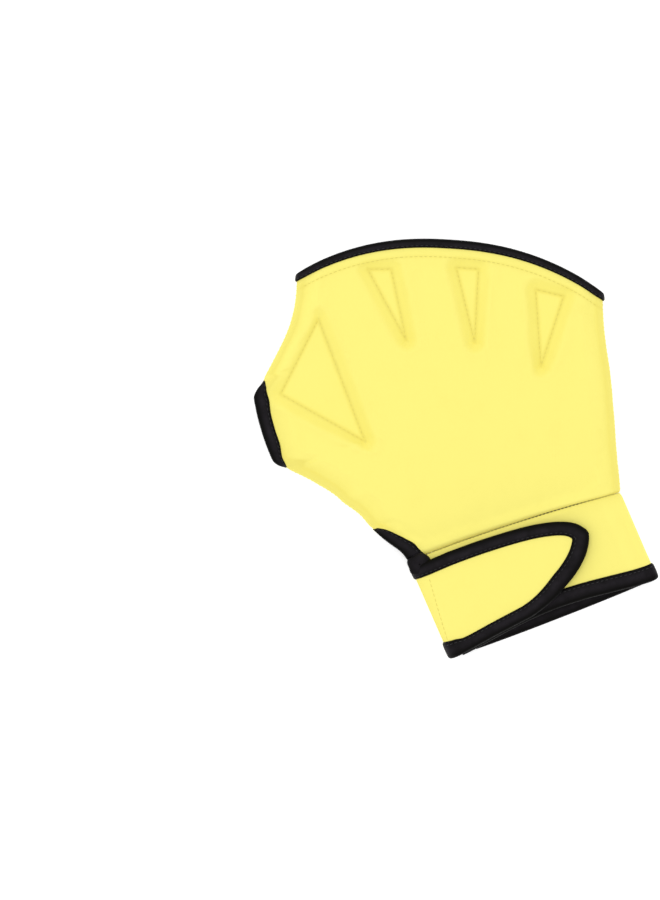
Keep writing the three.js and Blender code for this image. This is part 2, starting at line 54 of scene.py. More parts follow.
# %% Sizes
mm = 0.001
palm_width = 152 * mm
hand_length = 160 * mm
thumb_reach = 22 * mm
finger_crown = 21 * mm
cuff_length = 47 * mm
cuff_flare = 18.5 * mm
cloth = 1.8 * mm
fold_radius = 3.5 * mm
mouth_clear = 5.0 * mm
crest_height = 14.2 * mm
web_fall = 7 * mm
crown_run = 9 * mm
lift_run = 9 * mm
tape_width = 6.4 * mm
finger_tape_width = 4.6 * mm
tape_thickness = 0.6 * mm
gap = 0.3 * mm
hem_peek = 5.5 * mm
strap_lap = 14 * mm
strap_drop = 2.6 * mm
open_lift = 0.7

half_cloth = cloth / 2
tape_leg = gap + tape_thickness
lip_top = 2 * cloth + 3 * tape_leg + mouth_clear
fold_top = 2 * fold_radius + gap
zone_length = fold_radius * np.pi / 2
strap_under = lip_top + 2 * tape_leg + gap
strap_top = strap_under + cloth
strap_radius = (strap_top - tape_leg) / 2
print("lips stand", round(1000 * lip_top, 1), "mm high, the strap", round(1000 * strap_top, 1), "mm")

# %% [markdown]
# The outline is read as a stack of rows, from the wrist seam at 0 to the finger edge at 1. Each row
# names its left and right end as shares of the hand's width and length. A cubic that never overshoots
# joins the rows, so a dozen honest measurements give a smooth edge without wobble.

# %% The outline's rows
outline_columns = ("at", "left_x", "reach", "left_y", "right_x", "right_y", "closed")
outline_rows = [
    (0.000, -0.164, 0.00, -0.348, 0.534, -0.134, 0.0),
    (0.035, -0.186, 0.00, -0.322, 0.532, -0.114, 0.0),
    (0.075, -0.223, 0.00, -0.296, 0.530, -0.087, 0.0),
    (0.100, -0.250, 0.00, -0.276, 0.528, -0.071, 0.0),
    (0.120, -0.274, 0.00, -0.256, 0.527, -0.059, 0.25),
    (0.131, -0.283, 0.00, -0.246, 0.526, -0.052, 0.65),
    (0.140, -0.291, 0.00, -0.237, 0.525, -0.047, 1.0),
    (0.175, -0.321, 0.00, -0.204, 0.523, -0.025, 1.0),
    (0.250, -0.387, 0.00, -0.156, 0.519, 0.022, 1.0),
    (0.345, -0.431, 0.32, -0.099, 0.515, 0.082, 1.0),
    (0.400, -0.473, 0.50, -0.067, 0.512, 0.116, 1.0),
    (0.415, -0.484, 0.56, -0.059, 0.511, 0.126, 0.6),
    (0.430, -0.491, 0.66, -0.055, 0.510, 0.136, 0.2),
    (0.445, -0.496, 0.74, -0.042, 0.509, 0.145, 0.0),
    (0.475, -0.500, 0.80, -0.018, 0.508, 0.163, 0.0),
    (0.540, -0.513, 0.90, 0.054, 0.504, 0.204, 0.0),
    (0.610, -0.520, 0.99, 0.129, 0.499, 0.248, 0.0),
    (0.640, -0.524, 1.00, 0.161, 0.496, 0.266, 0.0),
    (0.660, -0.522, 0.96, 0.184, 0.494, 0.279, 0.0),
    (0.680, -0.520, 0.85, 0.209, 0.492, 0.291, 0.25),
    (0.690, -0.520, 0.81, 0.219, 0.491, 0.297, 0.65),
    (0.698, -0.520, 0.78, 0.227, 0.490, 0.302, 1.0),
    (0.750, -0.520, 0.58, 0.279, 0.486, 0.332, 1.0),
    (0.810, -0.520, 0.35, 0.342, 0.481, 0.369, 1.0),
    (0.870, -0.523, 0.16, 0.404, 0.478, 0.406, 1.0),
    (0.925, -0.524, 0.06, 0.464, 0.476, 0.441, 1.0),
    (1.000, -0.526, 0.00, 0.550, 0.474, 0.490, 1.0),
]
outline = dict(zip(outline_columns, np.array(outline_rows).T))
fullness = {"at": np.array([-1.0, 0.0, 0.2, 0.4, 0.6, 0.85, 1.0]),
            "share": np.array([0.0, 0.0, 0.70, 1.00, 0.80, 0.25, 0.0])}


def smooth(table, name, at):
    """A cubic through the rows. Its slope at a row is the harmonic mean of the slopes to both
    neighbours, or 0 where they differ in sign, so it never overshoots a row."""
    places, values = table["at"], table[name]
    step = np.diff(places)
    slope = np.diff(values) / step
    same = slope[:-1] * slope[1:] > 0
    mean = 2 * slope[:-1] * slope[1:] / np.where(same, slope[:-1] + slope[1:], 1)
    tangent = np.concatenate([slope[:1], np.where(same, mean, 0), slope[-1:]])
    x = np.clip(at, places[0], places[-1])
    i = np.clip(np.searchsorted(places, x, side="right") - 1, 0, len(step) - 1)
    t = (x - places[i]) / step[i]
    start = values[i] * (1 + 2 * t) * (1 - t) ** 2 + step[i] * tangent[i] * t * (1 - t) ** 2
    end = values[i + 1] * t ** 2 * (3 - 2 * t) + step[i] * tangent[i + 1] * t ** 2 * (t - 1)
    return start + end


print("outline rows:", len(outline_rows))

# %% [markdown]
# A row is a straight chord between its two ends, bowed towards the fingers. Below the wrist seam the
# same chord slides down the cuff. Two numbers then name any place on the flat pattern: how far along
# the row it is, and which row it lies on.

# %% Rows across the hand
cuff_ends = {"left": (1.15, 1.037), "right": (1.0, 0.915)}
bows = {"hem": -0.05, "seam": 0.09, "mouth": 1.0}
bow_power = 2.3
slope_step, pace_step = 0.012, 0.02


def mix(a, b, t):
    """a where t is 0, b where t is 1, and in between on a straight line."""
    return a + (b - a) * t


def ease(x):
    """0 up to 0, 1 from 1 on, and 3 x squared less 2 x cubed in between."""
    t = np.clip(x, 0, 1)
    return t * t * (3 - 2 * t)


def row_end(at, end):
    """One end of a row: its shares times the hand's sizes, and below the seam plus a slide down
    the cuff."""
    hand, down = np.maximum(at, 0), np.maximum(-at, 0)
    out, fall = cuff_ends[end]
    x = smooth(outline, f"{end}_x", hand) * palm_width + down * out * cuff_flare
    y = smooth(outline, f"{end}_y", hand) * hand_length - down * fall * cuff_length
    if end == "left":
        x = x - smooth(outline, "reach", hand) * thumb_reach
    return np.stack([x, y], -1)


def unit(v):
    """A vector over its own length."""
    return v / np.maximum(np.linalg.norm(v, axis=-1, keepdims=True), 1e-12)


def run_along(points):
    """Distance travelled along a line of points, 0 at the first."""
    return np.concatenate([[0], np.cumsum(np.linalg.norm(np.diff(points, axis=0), axis=-1))])


def edge_direction(at, end):
    """The outline's direction at a row's end, from a short step below it to a short step above."""
    above = row_end(np.minimum(at + slope_step, 1), end)
    return unit(above - row_end(np.maximum(at - slope_step, -1), end))


def row_width(at):
    """Distance between a row's two ends."""
    return np.linalg.norm(row_end(at, "right") - row_end(at, "left"), axis=-1)


def plan_point(distance, at):
    """The chord's point at that distance, plus a bow, full in the middle and nothing at the ends."""
    share = (distance / row_width(at))[..., None]
    above, below = mix(bows["seam"], bows["mouth"], at * at), mix(bows["seam"], bows["hem"], -at)
    bow = np.where(at > 0, above, below)
    hump = 1 - np.abs(2 * np.clip(share[..., 0], 0, 1) - 1) ** bow_power
    point = mix(row_end(at, "left"), row_end(at, "right"), share)
    return point + np.stack([0 * hump, bow * finger_crown * hump], -1)


def row_pace(share, edge):
    """How far the row travels for a whole step of its place, near the finger edge, 1, or the hem, -1."""
    near = edge - np.sign(edge) * pace_step
    here = plan_point(share * row_width(edge), edge)
    there = plan_point(share * row_width(near), near)
    return np.linalg.norm(here - there, axis=-1) / pace_step


print("finger edge in mm:", round(1000 * float(row_width(np.array(1.0))), 1))

# %% [markdown]
# Between two fingers the back and the palm are stitched together in a flat triangle, the web. The
# cloth rises smoothly from a web to the full height of the finger channel beside it. A distance to
# each triangle, eased over a few millimetres, gives that slope without any sculpting.

# %% Webs between the fingers
webs = {
    "thumb": ((-0.457, 0.405), (-0.581, 0.171), (-0.305, 0.024)),
    "index": ((-0.296, 0.560), (-0.219, 0.560), (-0.170, 0.339)),
    "middle": ((-0.006, 0.565), (0.067, 0.560), (0.054, 0.332)),
    "ring": ((0.254, 0.497), (0.346, 0.476), (0.271, 0.258)),
}
web_corners = {name: np.array(c) * (palm_width, hand_length) for name, c in webs.items()}


def to_segment(xy, a, b):
    """Distance from points to the straight stretch between a and b."""
    along = np.clip(((xy - a) @ (b - a)) / ((b - a) @ (b - a)), 0, 1)
    return np.linalg.norm(xy - a - along[..., None] * (b - a), axis=-1)


def sides_of(corners):
    """The three sides of a triangle, each as its two ends."""
    return [(corners[i], corners[(i + 1) % 3]) for i in range(3)]


def off_web(xy, corners):
    """Distance from points to a triangle, 0 inside it."""
    sides = sides_of(corners)
    turns = [(b - a)[0] * (xy - a)[..., 1] - (b - a)[1] * (xy - a)[..., 0] for a, b in sides]
    inside = np.all(np.array(turns) >= 0, 0) | np.all(np.array(turns) <= 0, 0)
    return np.where(inside, 0, np.min([to_segment(xy, a, b) for a, b in sides], 0))


def to_nearest_web(xy):
    """Distance from points to the nearest web, 0 inside one."""
    return np.min([off_web(xy, corners) for corners in web_corners.values()], 0)


def web_share(xy):
    """1 in a web, 0 in a channel, eased in between."""
    return 1 - ease(to_nearest_web(xy) / web_fall)


print("webs:", ", ".join(webs))

# %% [markdown]
# A side fold is a quarter turn of the back cloth meeting a quarter turn of the palm cloth. Where the
# glove is open, at the thumb hole and the wrist slit, the same strip of cloth uncurls until it lies
# flat, so one formula covers fold, lip and everything between. It runs on the number u: -1 at the
# cloth's left edge, 0 where the left fold ends, 1 where the right fold starts, 2 at the right edge.

# %% The skin of the glove
least_slant = 0.55
least_closed = 0.001


def end_facts(at, end):
    """For one end of each row: how closed it is, the strip's arc and how far it reaches in."""
    closed = smooth(outline, "closed", np.maximum(at, 0)) if end == "left" else np.ones_like(at)
    row = unit(row_end(at, "right") - row_end(at, "left"))
    edge = edge_direction(at, end)
    slant = np.maximum(np.abs(row[..., 0] * edge[..., 1] - row[..., 1] * edge[..., 0]), least_slant)
    curve = np.maximum(closed, least_closed)
    angle, radius, setback = curve * np.pi / 2, fold_radius / curve, tape_leg * (1 - closed)
    reach = (setback + radius * np.sin(angle)) / slant
    lift = tape_leg * np.clip((1 - closed) / open_lift, 0, 1)
    side = -1 if end == "left" else 1
    outward = side * np.stack([edge[..., 1], -edge[..., 0]], -1)
    return dict(closed=closed, slant=slant, angle=angle, radius=radius, setback=setback,
                reach=reach, lift=lift, outward=outward)


def skin(side, u, at):
    """Outer face and outward normal of the back, side 1, or the palm, side -1. In a strip the cloth
    turns on a circle: in by radius (sin angle - sin turn), down by radius (1 - cos turn). Between
    the strips the back stands at the height of its two ends, plus the hand's crest, less the pinch
    of a web, and the palm lies at the lift of the tape under it, plus the same pinch."""
    u, at = np.broadcast_arrays(np.asarray(u, float), np.asarray(at, float))
    width = row_width(at)
    left, right = end_facts(at, "left"), end_facts(at, "right")
    in_left, in_strip = u < 0, (u < 0) | (u > 1)
    strip = np.where(in_left, u + 1, 2 - u)
    here = {k: np.where((in_left if v.ndim == u.ndim else in_left[..., None]), left[k], v)
            for k, v in right.items()}
    turn = np.where(in_strip, here["angle"] * (1 - strip), 0)
    away = here["radius"] * (np.sin(here["angle"]) - np.sin(turn))
    inward = (here["setback"] + away) / here["slant"]
    middle = mix(left["reach"], width - right["reach"], np.clip(u, 0, 1))
    distance = np.where(in_left, inward, np.where(in_strip, width - inward, middle))
    drop = np.where(in_strip, here["radius"] * (1 - np.cos(turn)), 0)
    level = here["outward"] * np.sin(turn)[..., None]
    normal = np.concatenate([level, side * np.cos(turn)[..., None]], -1)
    share = np.clip(distance / width, 0, 1)
    point = plan_point(distance, at)
    edge = np.where(at > 0, 1.0, -1.0)
    lift = tape_leg * (1 - ease((np.abs(edge - at) * row_pace(share, edge) - tape_width) / lift_run))
    palm = np.maximum(lift, left["lift"] * (1 - ease((distance - left["reach"]) / lift_run)))
    tops = [mix(lip_top, fold_top + lift, e["closed"]) for e in (left, right)]
    base = mix(tops[0], tops[1], ease(share))
    crest = mix(lip_top, crest_height, smooth(fullness, "share", at))
    from_right = width - distance - right["reach"]
    rise = ease((distance - left["reach"]) / crown_run) * ease(from_right / crown_run)
    back = base + (crest - base) * rise
    clear = ease(((1 - at) * row_pace(share, np.ones_like(at)) - finger_tape_width) / web_fall)
    pinch = clear * web_share(point) * (back - palm - 2 * cloth - gap) / 2
    height = back - pinch - drop if side > 0 else palm + pinch + drop
    return np.concatenate([point, height[..., None]], -1), normal


def from_mouth(u, edge, depth):
    """The row place that lies a depth in metres inside the finger edge, 1, or the hem, -1."""
    share = np.clip(u, 0, 1)
    edge = np.full(np.shape(share), float(edge))
    return edge - np.sign(edge) * depth / row_pace(share, edge)


top, _ = skin(1, np.linspace(-1, 2, 61)[None, :], np.linspace(0, 1, 61)[:, None])
print("back panel stands up to", round(1000 * float(top[..., 2].max()), 1), "mm")

# %% [markdown]
# The pattern's own origin isn't the frame's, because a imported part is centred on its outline. The pad
# under the strap lies at a known place of the pattern, so its place in the frame gives the shift.

# %% Where the pattern lies in the frame
mid_cuff = -0.5
pad_place = 0.34
pad_low, pad_high = (np.array(corner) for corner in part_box("hook_pad"))
pad_on_plan = plan_point(pad_place * row_width(np.array(mid_cuff)), np.array(mid_cuff))
shift = np.append(((pad_low + pad_high) / 2)[:2] - pad_on_plan, 0)
print("shift in mm:", (1000 * shift).round(2))

# %% [markdown]
# Stitch lines pull foam cloth into shallow valleys. One line runs round each web, one follows the
# finger mouth, and the wrist seam lies in a valley of its own. The same distances that carve the
# valleys later place the threads in them.

# %% Valleys along the stitch lines
seam_gap = gap / 2
seam_pace = 0.9 * hand_length
valley_depth, valley_width = 0.40 * mm, 0.9 * mm
seam_depth, seam_width = 0.55 * mm, 1.3 * mm
mouth_row_depth, mouth_row_share = finger_tape_width + 4.4 * mm, 0.35


def to_web_lines(xy):
    """Distance from points to the nearest side of any web."""
    return np.min([to_segment(xy, a, b) for c in web_corners.values() for a, b in sides_of(c)], 0)


def bell(distance, width):
    """1 on a line, falling off as e to the minus square of distance over width."""
    return np.exp(-(distance / width) ** 2)


def valley(point, u, at):
    """How deep the cloth lies below the plain skin: the deeper of the web lines and the finger row,
    plus the valley of the wrist seam."""
    share = np.clip(u, 0, 1)
    from_edge = (1 - at) * row_pace(share, np.ones_like(at))
    webs = bell(to_web_lines(point[..., :2]), valley_width)
    mouth = mouth_row_share * bell(from_edge - mouth_row_depth, valley_width)
    hand = np.where(at > 0, valley_depth * np.maximum(webs, mouth), 0)
    return hand + seam_depth * bell(np.abs(at) * np.where(at > 0, seam_pace, cuff_length), seam_width)


print("valleys", 1000 * valley_depth, "mm deep, the wrist seam's", 1000 * seam_depth)

# %% [markdown]
# A surface is a grid of points. Each cell of the grid is a face with four corners, and the mesh
# becomes an object of the scene. Three small functions do this for every piece.

# %% Grids and objects
def numbers(*shape):
    """The points of a grid, numbered row by row."""
    return np.arange(np.prod(shape)).reshape(shape)


def quads(index, close_rows=False, close_columns=False):
    """Four corners for each cell of a grid of point numbers, wrapped round where asked."""
    if close_rows:
        index = np.vstack([index, index[:1]])
    if close_columns:
        index = np.hstack([index, index[:, :1]])
    return np.stack([index[:-1, :-1], index[:-1, 1:], index[1:, 1:], index[1:, :-1]], -1).reshape(-1, 4)


def add_object(name, data):
    """A new object of the scene that shows a mesh, a light or a camera."""
    thing = bpy.data.objects.new(name, data)
    bpy.context.scene.collection.objects.link(thing)
    return thing


print("a grid of 3 by 3 points has", len(quads(numbers(3, 3))), "cells")

# %% [markdown]
# A cloth simulation settles the back of the hand. A coarse grid of it is held at its rim and on the
# webs, grows by a hair as a slack cut would, and falls under its own weight for a second. Only how far
# each point moved is kept, capped, and spread over the fine grid by a cubic B-spline.

# %% The back settles
settle_rows, settle_columns, settle_frames = 61, 57, 24
settle_cap, slack = 1.1 * mm, -0.006
settle_low, settle_high = 0.02, 0.97
held_reach = 1.5 * mm


def settle():
    """How far each point of the coarse back moves: its simulated place less its first, capped."""
    at, u = np.meshgrid(np.linspace(settle_low, settle_high, settle_rows),
                        np.linspace(0, 1, settle_columns), indexing="ij")
    start = skin(1, u, at)[0]
    index = numbers(*u.shape)
    mesh = bpy.data.meshes.new("settling")
    mesh.from_pydata(start.reshape(-1, 3), [], quads(index).tolist())
    piece = add_object("settling", mesh)
    held = to_nearest_web(start[..., :2]) < held_reach
    held[[0, -1]] = held[:, [0, -1]] = True
    piece.vertex_groups.new(name="held").add(index[held].tolist(), 1.0, "ADD")
    run = piece.modifiers.new("settle", "CLOTH").settings
    run.quality, run.mass, run.air_damping = 8, 0.02, 5
    run.tension_stiffness = run.compression_stiffness = 40
    run.shear_stiffness, run.bending_stiffness = 20, 2.0
    run.shrink_min, run.vertex_group_mass = slack, "held"
    for step in range(1, settle_frames + 1):
        bpy.context.scene.frame_set(step)
    done = piece.evaluated_get(bpy.context.evaluated_depsgraph_get()).to_mesh()
    end = np.empty(start.size)
    done.vertices.foreach_get("co", end)
    bpy.data.objects.remove(piece)
    bpy.context.scene.frame_set(1)
    return np.clip(end.reshape(start.shape) - start, -settle_cap, settle_cap)


settled = settle()
print("the back settles by up to", (1000 * np.abs(settled).max((0, 1))).round(2), "mm")

# %% [markdown]
# Any place of the back can now be asked for: the plain skin, less its valleys, plus the settled move.
# The other way round, a place on the plan leads back to its u and row.

# %% The finished face
newton_steps = 14


def taps(place, count):
    """Four neighbours on a grid line and their weights: the uniform cubic B-spline's."""
    i = np.clip(np.floor(place), 0, count - 2)
    t = place - i
    second, third = 3 * t ** 3 - 6 * t ** 2 + 4, -3 * t ** 3 + 3 * t ** 2 + 3 * t + 1
    weights = ((1 - t) ** 3, second, third, t ** 3)
    return [(np.clip(i + k - 1, 0, count - 1).astype(int), w / 6) for k, w in enumerate(weights)]


def settling(u, at):
    """The settled move at a place of the back: the B-spline through the coarse grid, 0 outside it."""
    row = (at - settle_low) / (settle_high - settle_low) * (settle_rows - 1)
    inside = ((u > 0) & (u < 1) & (row > 0) & (row < settle_rows - 1))[..., None]
    rows = taps(np.clip(row, 0, settle_rows - 1), settle_rows)
    columns = taps(np.clip(u, 0, 1) * (settle_columns - 1), settle_columns)
    move = sum((wi * wj)[..., None] * settled[i, j] for i, wi in rows for j, wj in columns)
    return np.where(inside, move, 0)


def face(side, u, at):
    """The skin with its valleys, settled on the back, and the skin's normal."""
    u, at = np.broadcast_arrays(np.asarray(u, float), np.asarray(at, float))
    point, normal = skin(side, u, at)
    point = point - normal * valley(point, u, at)[..., None]
    return point + (settling(u, at) if side > 0 else 0), normal


def plan_of(place):
    """Where on the plan the back's skin has each u and row place."""
    return skin(1, *place.T)[0][:, :2]


def places_of(xy):
    """The u and row place under points of the plan, by Newton steps on the skin's own formula."""
    place, tiny = np.full(xy.shape, 0.5), 1e-5
    for _ in range(newton_steps):
        here = plan_of(place)
        slopes = [(plan_of(place + nudge) - here) / tiny for nudge in np.eye(2) * tiny]
        step = np.linalg.solve(np.stack(slopes, -1), (xy - here)[..., None])[..., 0]
        place = np.clip(place + step, (0, 0.001), (1, 0.999))
    return place.T


check_xy = np.array([[0.0, 0.0], [0.02, 0.04]])
found_off = plan_of(np.stack(places_of(check_xy), -1)) - check_xy
print("places found to mm:", (1000 * np.abs(found_off)).max().round(6))

# %% [markdown]
# A piece of cloth has two faces and a rim. The outer face carries the detail, so the inner one takes
# every second point of the grid, and three triangles at a time join the two round the rim.

# %% Walls of cloth
def mesh_piece(name, points, faces, finish, attributes=None, uv=None):
    """A mesh object with smooth faces, turned so that its signed volume is positive: the sum, over
    the triangles, of the first corner times the cross product of the other two."""
    points = np.asarray(points).reshape(-1, 3) + shift
    thirds = [(f[:, 0], f[:, i], f[:, i + 1]) for f in faces for i in range(1, f.shape[1] - 1)]
    volume = sum(float(np.sum(points[a] * np.cross(points[b], points[c]))) for a, b, c in thirds)
    if volume < 0:
        faces = [f[:, ::-1] for f in faces]
    mesh = bpy.data.meshes.new(name)
    mesh.from_pydata(points, [], [corner for f in faces for corner in f.tolist()])
    for key, values in (attributes or {}).items():
        layer = mesh.attributes.new(key, "FLOAT", "POINT")
        layer.data.foreach_set("value", np.asarray(values, np.float32).ravel())
    if uv is not None:
        corners = np.zeros(len(mesh.loops), np.int32)
        mesh.loops.foreach_get("vertex_index", corners)
        layer = mesh.uv_layers.new(name="UVMap")
        layer.data.foreach_set("uv", np.asarray(uv, np.float32).reshape(-1, 2)[corners].ravel())
    mesh.shade_smooth()
    mesh.materials.append(finish)
    piece = add_object(name, mesh)
    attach(piece, "root")
    triangles = sum(len(f) * (f.shape[1] - 2) for f in faces)
    print(f"{name}: {len(points)} points, {triangles} triangles")
    return piece


def rim(fine, coarse):
    """Three triangles for each step of the coarse rim, which has every second point of the fine one."""
    a, b, c, d, e = fine[:-2:2], fine[1:-1:2], fine[2::2], coarse[:-1], coarse[1:]
    return np.concatenate([np.stack(t, -1) for t in ((a, b, d), (b, e, d), (b, c, e))])


def measure_cut(middle):
    """The diagonals of a cloth's cells, on the middle of its thickness; it gives nothing back."""
    diagonals = middle[1:, 1:] - middle[:-1, :-1], middle[1:, :-1] - middle[:-1, 1:]


def cloth_piece(name, outer, normal, fold):
    """A wall of cloth: the outer grid, every second point of it moved in by the cloth's thickness,
    and a rim. The fold attribute, 0 to 1, is painted shade: how much deeper its yellow is drawn."""
    inner = outer[::2, ::2] - normal[::2, ::2] * cloth
    measure_cut(outer - normal * half_cloth)
    top = numbers(*outer.shape[:2])
    low = top.size + numbers(*inner.shape[:2])
    rims = [rim(top[0], low[0]), rim(top[:, -1], low[:, -1]),
            rim(top[-1, ::-1], low[-1, ::-1]), rim(top[::-1, 0], low[::-1, 0])]
    faces = [quads(top)[:, ::-1], quads(low), np.concatenate(rims)]
    points = np.concatenate([outer.reshape(-1, 3), inner.reshape(-1, 3)])
    # The fold attribute is painted shade, on the inner face as on the outer.
    fold_shades = np.concatenate([fold.ravel(), fold[::2, ::2].ravel()])
    return mesh_piece(name, points, faces, foam_cloth, {"fold": fold_shades})


print("a wall of cloth is", 1000 * cloth, "mm thick")

# %% [markdown]
# Shader maths reads best as arithmetic. A small class wraps one number of the node tree, and each
# operator on it adds a Math node, so a pattern is written as the formula that it is.

# %% Shader arithmetic
def fill(tree, socket, value):
    """Sets an input to a plain value, or links a varying number to it."""
    if isinstance(value, Number):
        tree.links.new(value.socket, socket)
    else:
        socket.default_value = value


class Number:
    """One varying number of a material. Each operator adds a Math node and gives its result."""

    def __init__(self, tree, socket):
        self.tree, self.socket = tree, socket

    def math(self, operation, *others, first=()):
        """A Math node on this number, with others after it or a plain one before it."""
        node = self.tree.nodes.new("ShaderNodeMath")
        node.operation = operation
        for socket, value in zip(node.inputs, (*first, self, *others)):
            fill(self.tree, socket, value)
        return Number(self.tree, node.outputs[0])

    def __add__(self, other):
        return self.math("ADD", other)

    def __sub__(self, other):
        return self.math("SUBTRACT", other)

    def __mul__(self, other):
        return self.math("MULTIPLY", other)

    def __truediv__(self, other):
        return self.math("DIVIDE", other)

    def __radd__(self, other):
        return self.math("ADD", first=(other,))

    def __rsub__(self, other):
        return self.math("SUBTRACT", first=(other,))

    def __abs__(self):
        return self.math("ABSOLUTE")


class Finish:
    """A material under construction. node() adds a node: its settings first, then its inputs."""

    def __init__(self, name):
        self.material = bpy.data.materials.new(name)
        self.material.use_nodes = True
        self.tree = self.material.node_tree
        self.tree.nodes.clear()

    def node(self, kind, settings=None, inputs=None, output=0):
        node = self.tree.nodes.new("ShaderNode" + kind)
        for key, value in (settings or {}).items():
            setattr(node, key, value)
        for key, value in (inputs or {}).items():
            fill(self.tree, node.inputs[key], value)
        return Number(self.tree, node.outputs[output]) if node.outputs else None

    def axes(self, source):
        """The three parts of a vector."""
        parts = self.node("SeparateXYZ", inputs={"Vector": source})
        return [Number(self.tree, socket) for socket in parts.socket.node.outputs]

    def place(self):
        """Where a point lies in its object."""
        return self.node("TexCoord", output=3)

    def reading(self, name):
        """The mesh's own number of that name."""
        return self.node("Attribute", {"attribute_name": name}, output=2)

    def noise(self, **inputs):
        return self.node("TexNoise", inputs=inputs)

    def bump(self, **inputs):
        return self.node("Bump", inputs=inputs)

    def blend(self, share, first, second):
        """The first colour where share is 0, the second where it is 1."""
        return self.node("Mix", {"data_type": "RGBA"}, {0: share, 6: first, 7: second}, output=2)

    def done(self, **inputs):
        shader = self.node("BsdfPrincipled", inputs={k.replace("_", " "): v for k, v in inputs.items()})
        self.node("OutputMaterial", inputs={"Surface": shader})
        return self.material


print("shader arithmetic ready")

# %% [markdown]
# The cloth is foam faced with a fine knit. Close up it shows rows of V-shaped loops, from a little
# further an even, faintly uneven face. Its yellow is painted deeper where it folds and where it is
# sewn, painted shade where the cloth turns from the light and sinks into a stitch line. The loops are
# a sine that runs across columns whose middle leans forward.

# %% Cloth finish
def cloth_finish():
    """Loops: a sine along the glove, pushed forward by the distance from the column's middle, and faded
    at the column's sides. The colour deepens with the fold attribute, which is painted shade, and with
    a slow noise, a random tone."""
    make = Finish("foam_cloth")
    place = make.place()
    x, y, _ = make.axes(place)
    column_pitch, loop_pitch = 0.75 * mm, 0.62 * mm
    lean = abs((x / column_pitch).math("FRACT") - 0.5)
    loops = ((y / loop_pitch + lean * 0.9) * (2 * np.pi)).math("SINE") * 0.5 + 0.5
    knit = loops * (1 - lean * lean * 3.2)
    slow = make.noise(Vector=place, Scale=70.0, Detail=3.0, Roughness=0.55)
    fine = make.noise(Vector=place, Scale=900.0, Detail=2.0)
    # Painted shade: the fold attribute deepens the yellow on the folds and in the stitch valleys, and the
    # two noises add a random tone.
    fold = make.reading("fold")
    deep = (fold * 0.85 + (slow - 0.5) * 0.16 + (fine - 0.5) * 0.08).math("MAXIMUM", 0.0)
    # The second colour is the shaded yellow of the painted shade.
    colour = make.blend(deep, (0.872, 0.787, 0.187, 1), (0.66, 0.55, 0.085, 1))
    height = knit * 0.25 + slow * 1.2 + fine * 0.25
    normal = make.bump(Height=height, Strength=0.5, Distance=0.22 * mm)
    rough = 0.78 + (fine - 0.5) * 0.12
    return make.done(Base_Color=colour, Roughness=rough, Normal=normal, Specular_IOR_Level=0.2)


foam_cloth = cloth_finish()
print("made", foam_cloth.name)

# %% [markdown]
# The binding is a woven polyester tape, black with a satin face. Fine ribs run across it, so the
# pattern has to follow the tape round every bend: it reads a UV map laid along it, in metres.

# %% Tape finish
def tape_finish():
    """Ribs across the tape, each broken by the warp threads that run along it: the product of two
    sines. The attribute that is full along the middle of a leg is a painted highlight: the black is
    drawn greyer where the rounded tape faces the light."""
    make = Finish("satin_tape")
    along, across, _ = make.axes(make.node("UVMap", {"uv_map": "UVMap"}))
    rib_pitch, warp_pitch = 0.55 * mm, 0.45 * mm
    rib = (along * (2 * np.pi / rib_pitch)).math("SINE")
    warp = (across * (2 * np.pi / warp_pitch)).math("SINE")
    weave = rib * 0.6 + rib * warp * 0.4
    highlight_and_wear = make.noise(Vector=make.place(), Scale=220.0, Detail=3.0)
    # Painted highlight: the black is drawn greyer along the middle of each leg, broken by the weave and a
    # noise.
    share = (make.reading("ridge_highlight") * (weave * 0.15 + highlight_and_wear * 1.2)).math("MAXIMUM", 0.0)
    colour = make.blend(share, (0.0010, 0.0008, 0.0004, 1), (0.0155, 0.0130, 0.0165, 1))
    normal = make.bump(Height=weave, Strength=0.35, Distance=0.06 * mm)
    rough = 0.50 + (highlight_and_wear - 0.5) * 0.25
    return make.done(Base_Color=colour, Roughness=rough, Normal=normal, Specular_IOR_Level=0.06)


satin_tape = tape_finish()
print("made", satin_tape.name)

# %% [markdown]
# Both panels are the skin of the glove on a fine grid: rows packed from the wrist seam to the finger
# edge, columns from one side fold to the other. Their rim at the mouth lies inside the tape.

# %% Back and palm panels
panel_rows, panel_strip, panel_middle = 241, 14, 221
# Painted shade: its share and run on the side folds, and its gain in the stitch valleys.
fold_shade_share, fold_shade_run, valley_shade_gain = 0.35, 1.6 * mm, 1300


def across_panel(strip, middle):
    """Column numbers u from -1 to 2, packed closer in the two folds."""
    return np.concatenate([np.linspace(-1, 0, strip, endpoint=False), np.linspace(0, 1, middle),
                           np.linspace(2, 1, strip, endpoint=False)[::-1]])


def panel_places(u, rows):
    """Row places for each column, from the wrist seam to just inside the finger tape's bend."""
    last = from_mouth(u, 1, tape_leg)
    return mix(seam_gap / seam_pace, last[None, :], np.linspace(0, 1, rows)[:, None])


def painted_fold_shade(u, at):
    """Painted shade that deepens the yellow, from 0 to 1: a share on the side folds, where they turn
    from the light, that falls off as e to the minus distance over a run, plus a gain times the valley
    of a stitch line, shade painted into its groove."""
    point, _ = skin(1, u, at)
    share = np.clip(u, 0, 1)
    side = np.minimum(share, 1 - share) * row_width(at)
    # Painted shade on the side folds and in the stitch valleys.
    deep = fold_shade_share * np.exp(-side / fold_shade_run) + valley_shade_gain * valley(point, u, at)
    return np.clip(deep, 0, 1)


def hand_panel(name, side):
    """The back, side 1, or the palm, side -1."""
    u = across_panel(panel_strip, panel_middle)
    at = panel_places(u, panel_rows)
    u = np.broadcast_to(u, at.shape)
    return cloth_piece(name, *face(side, u, at), painted_fold_shade(u, at))


back_cloth = hand_panel("back_cloth", 1)
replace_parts(back_cloth, "back_panel")
palm_cloth = hand_panel("palm_cloth", -1)
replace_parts(palm_cloth, "palm_panel")

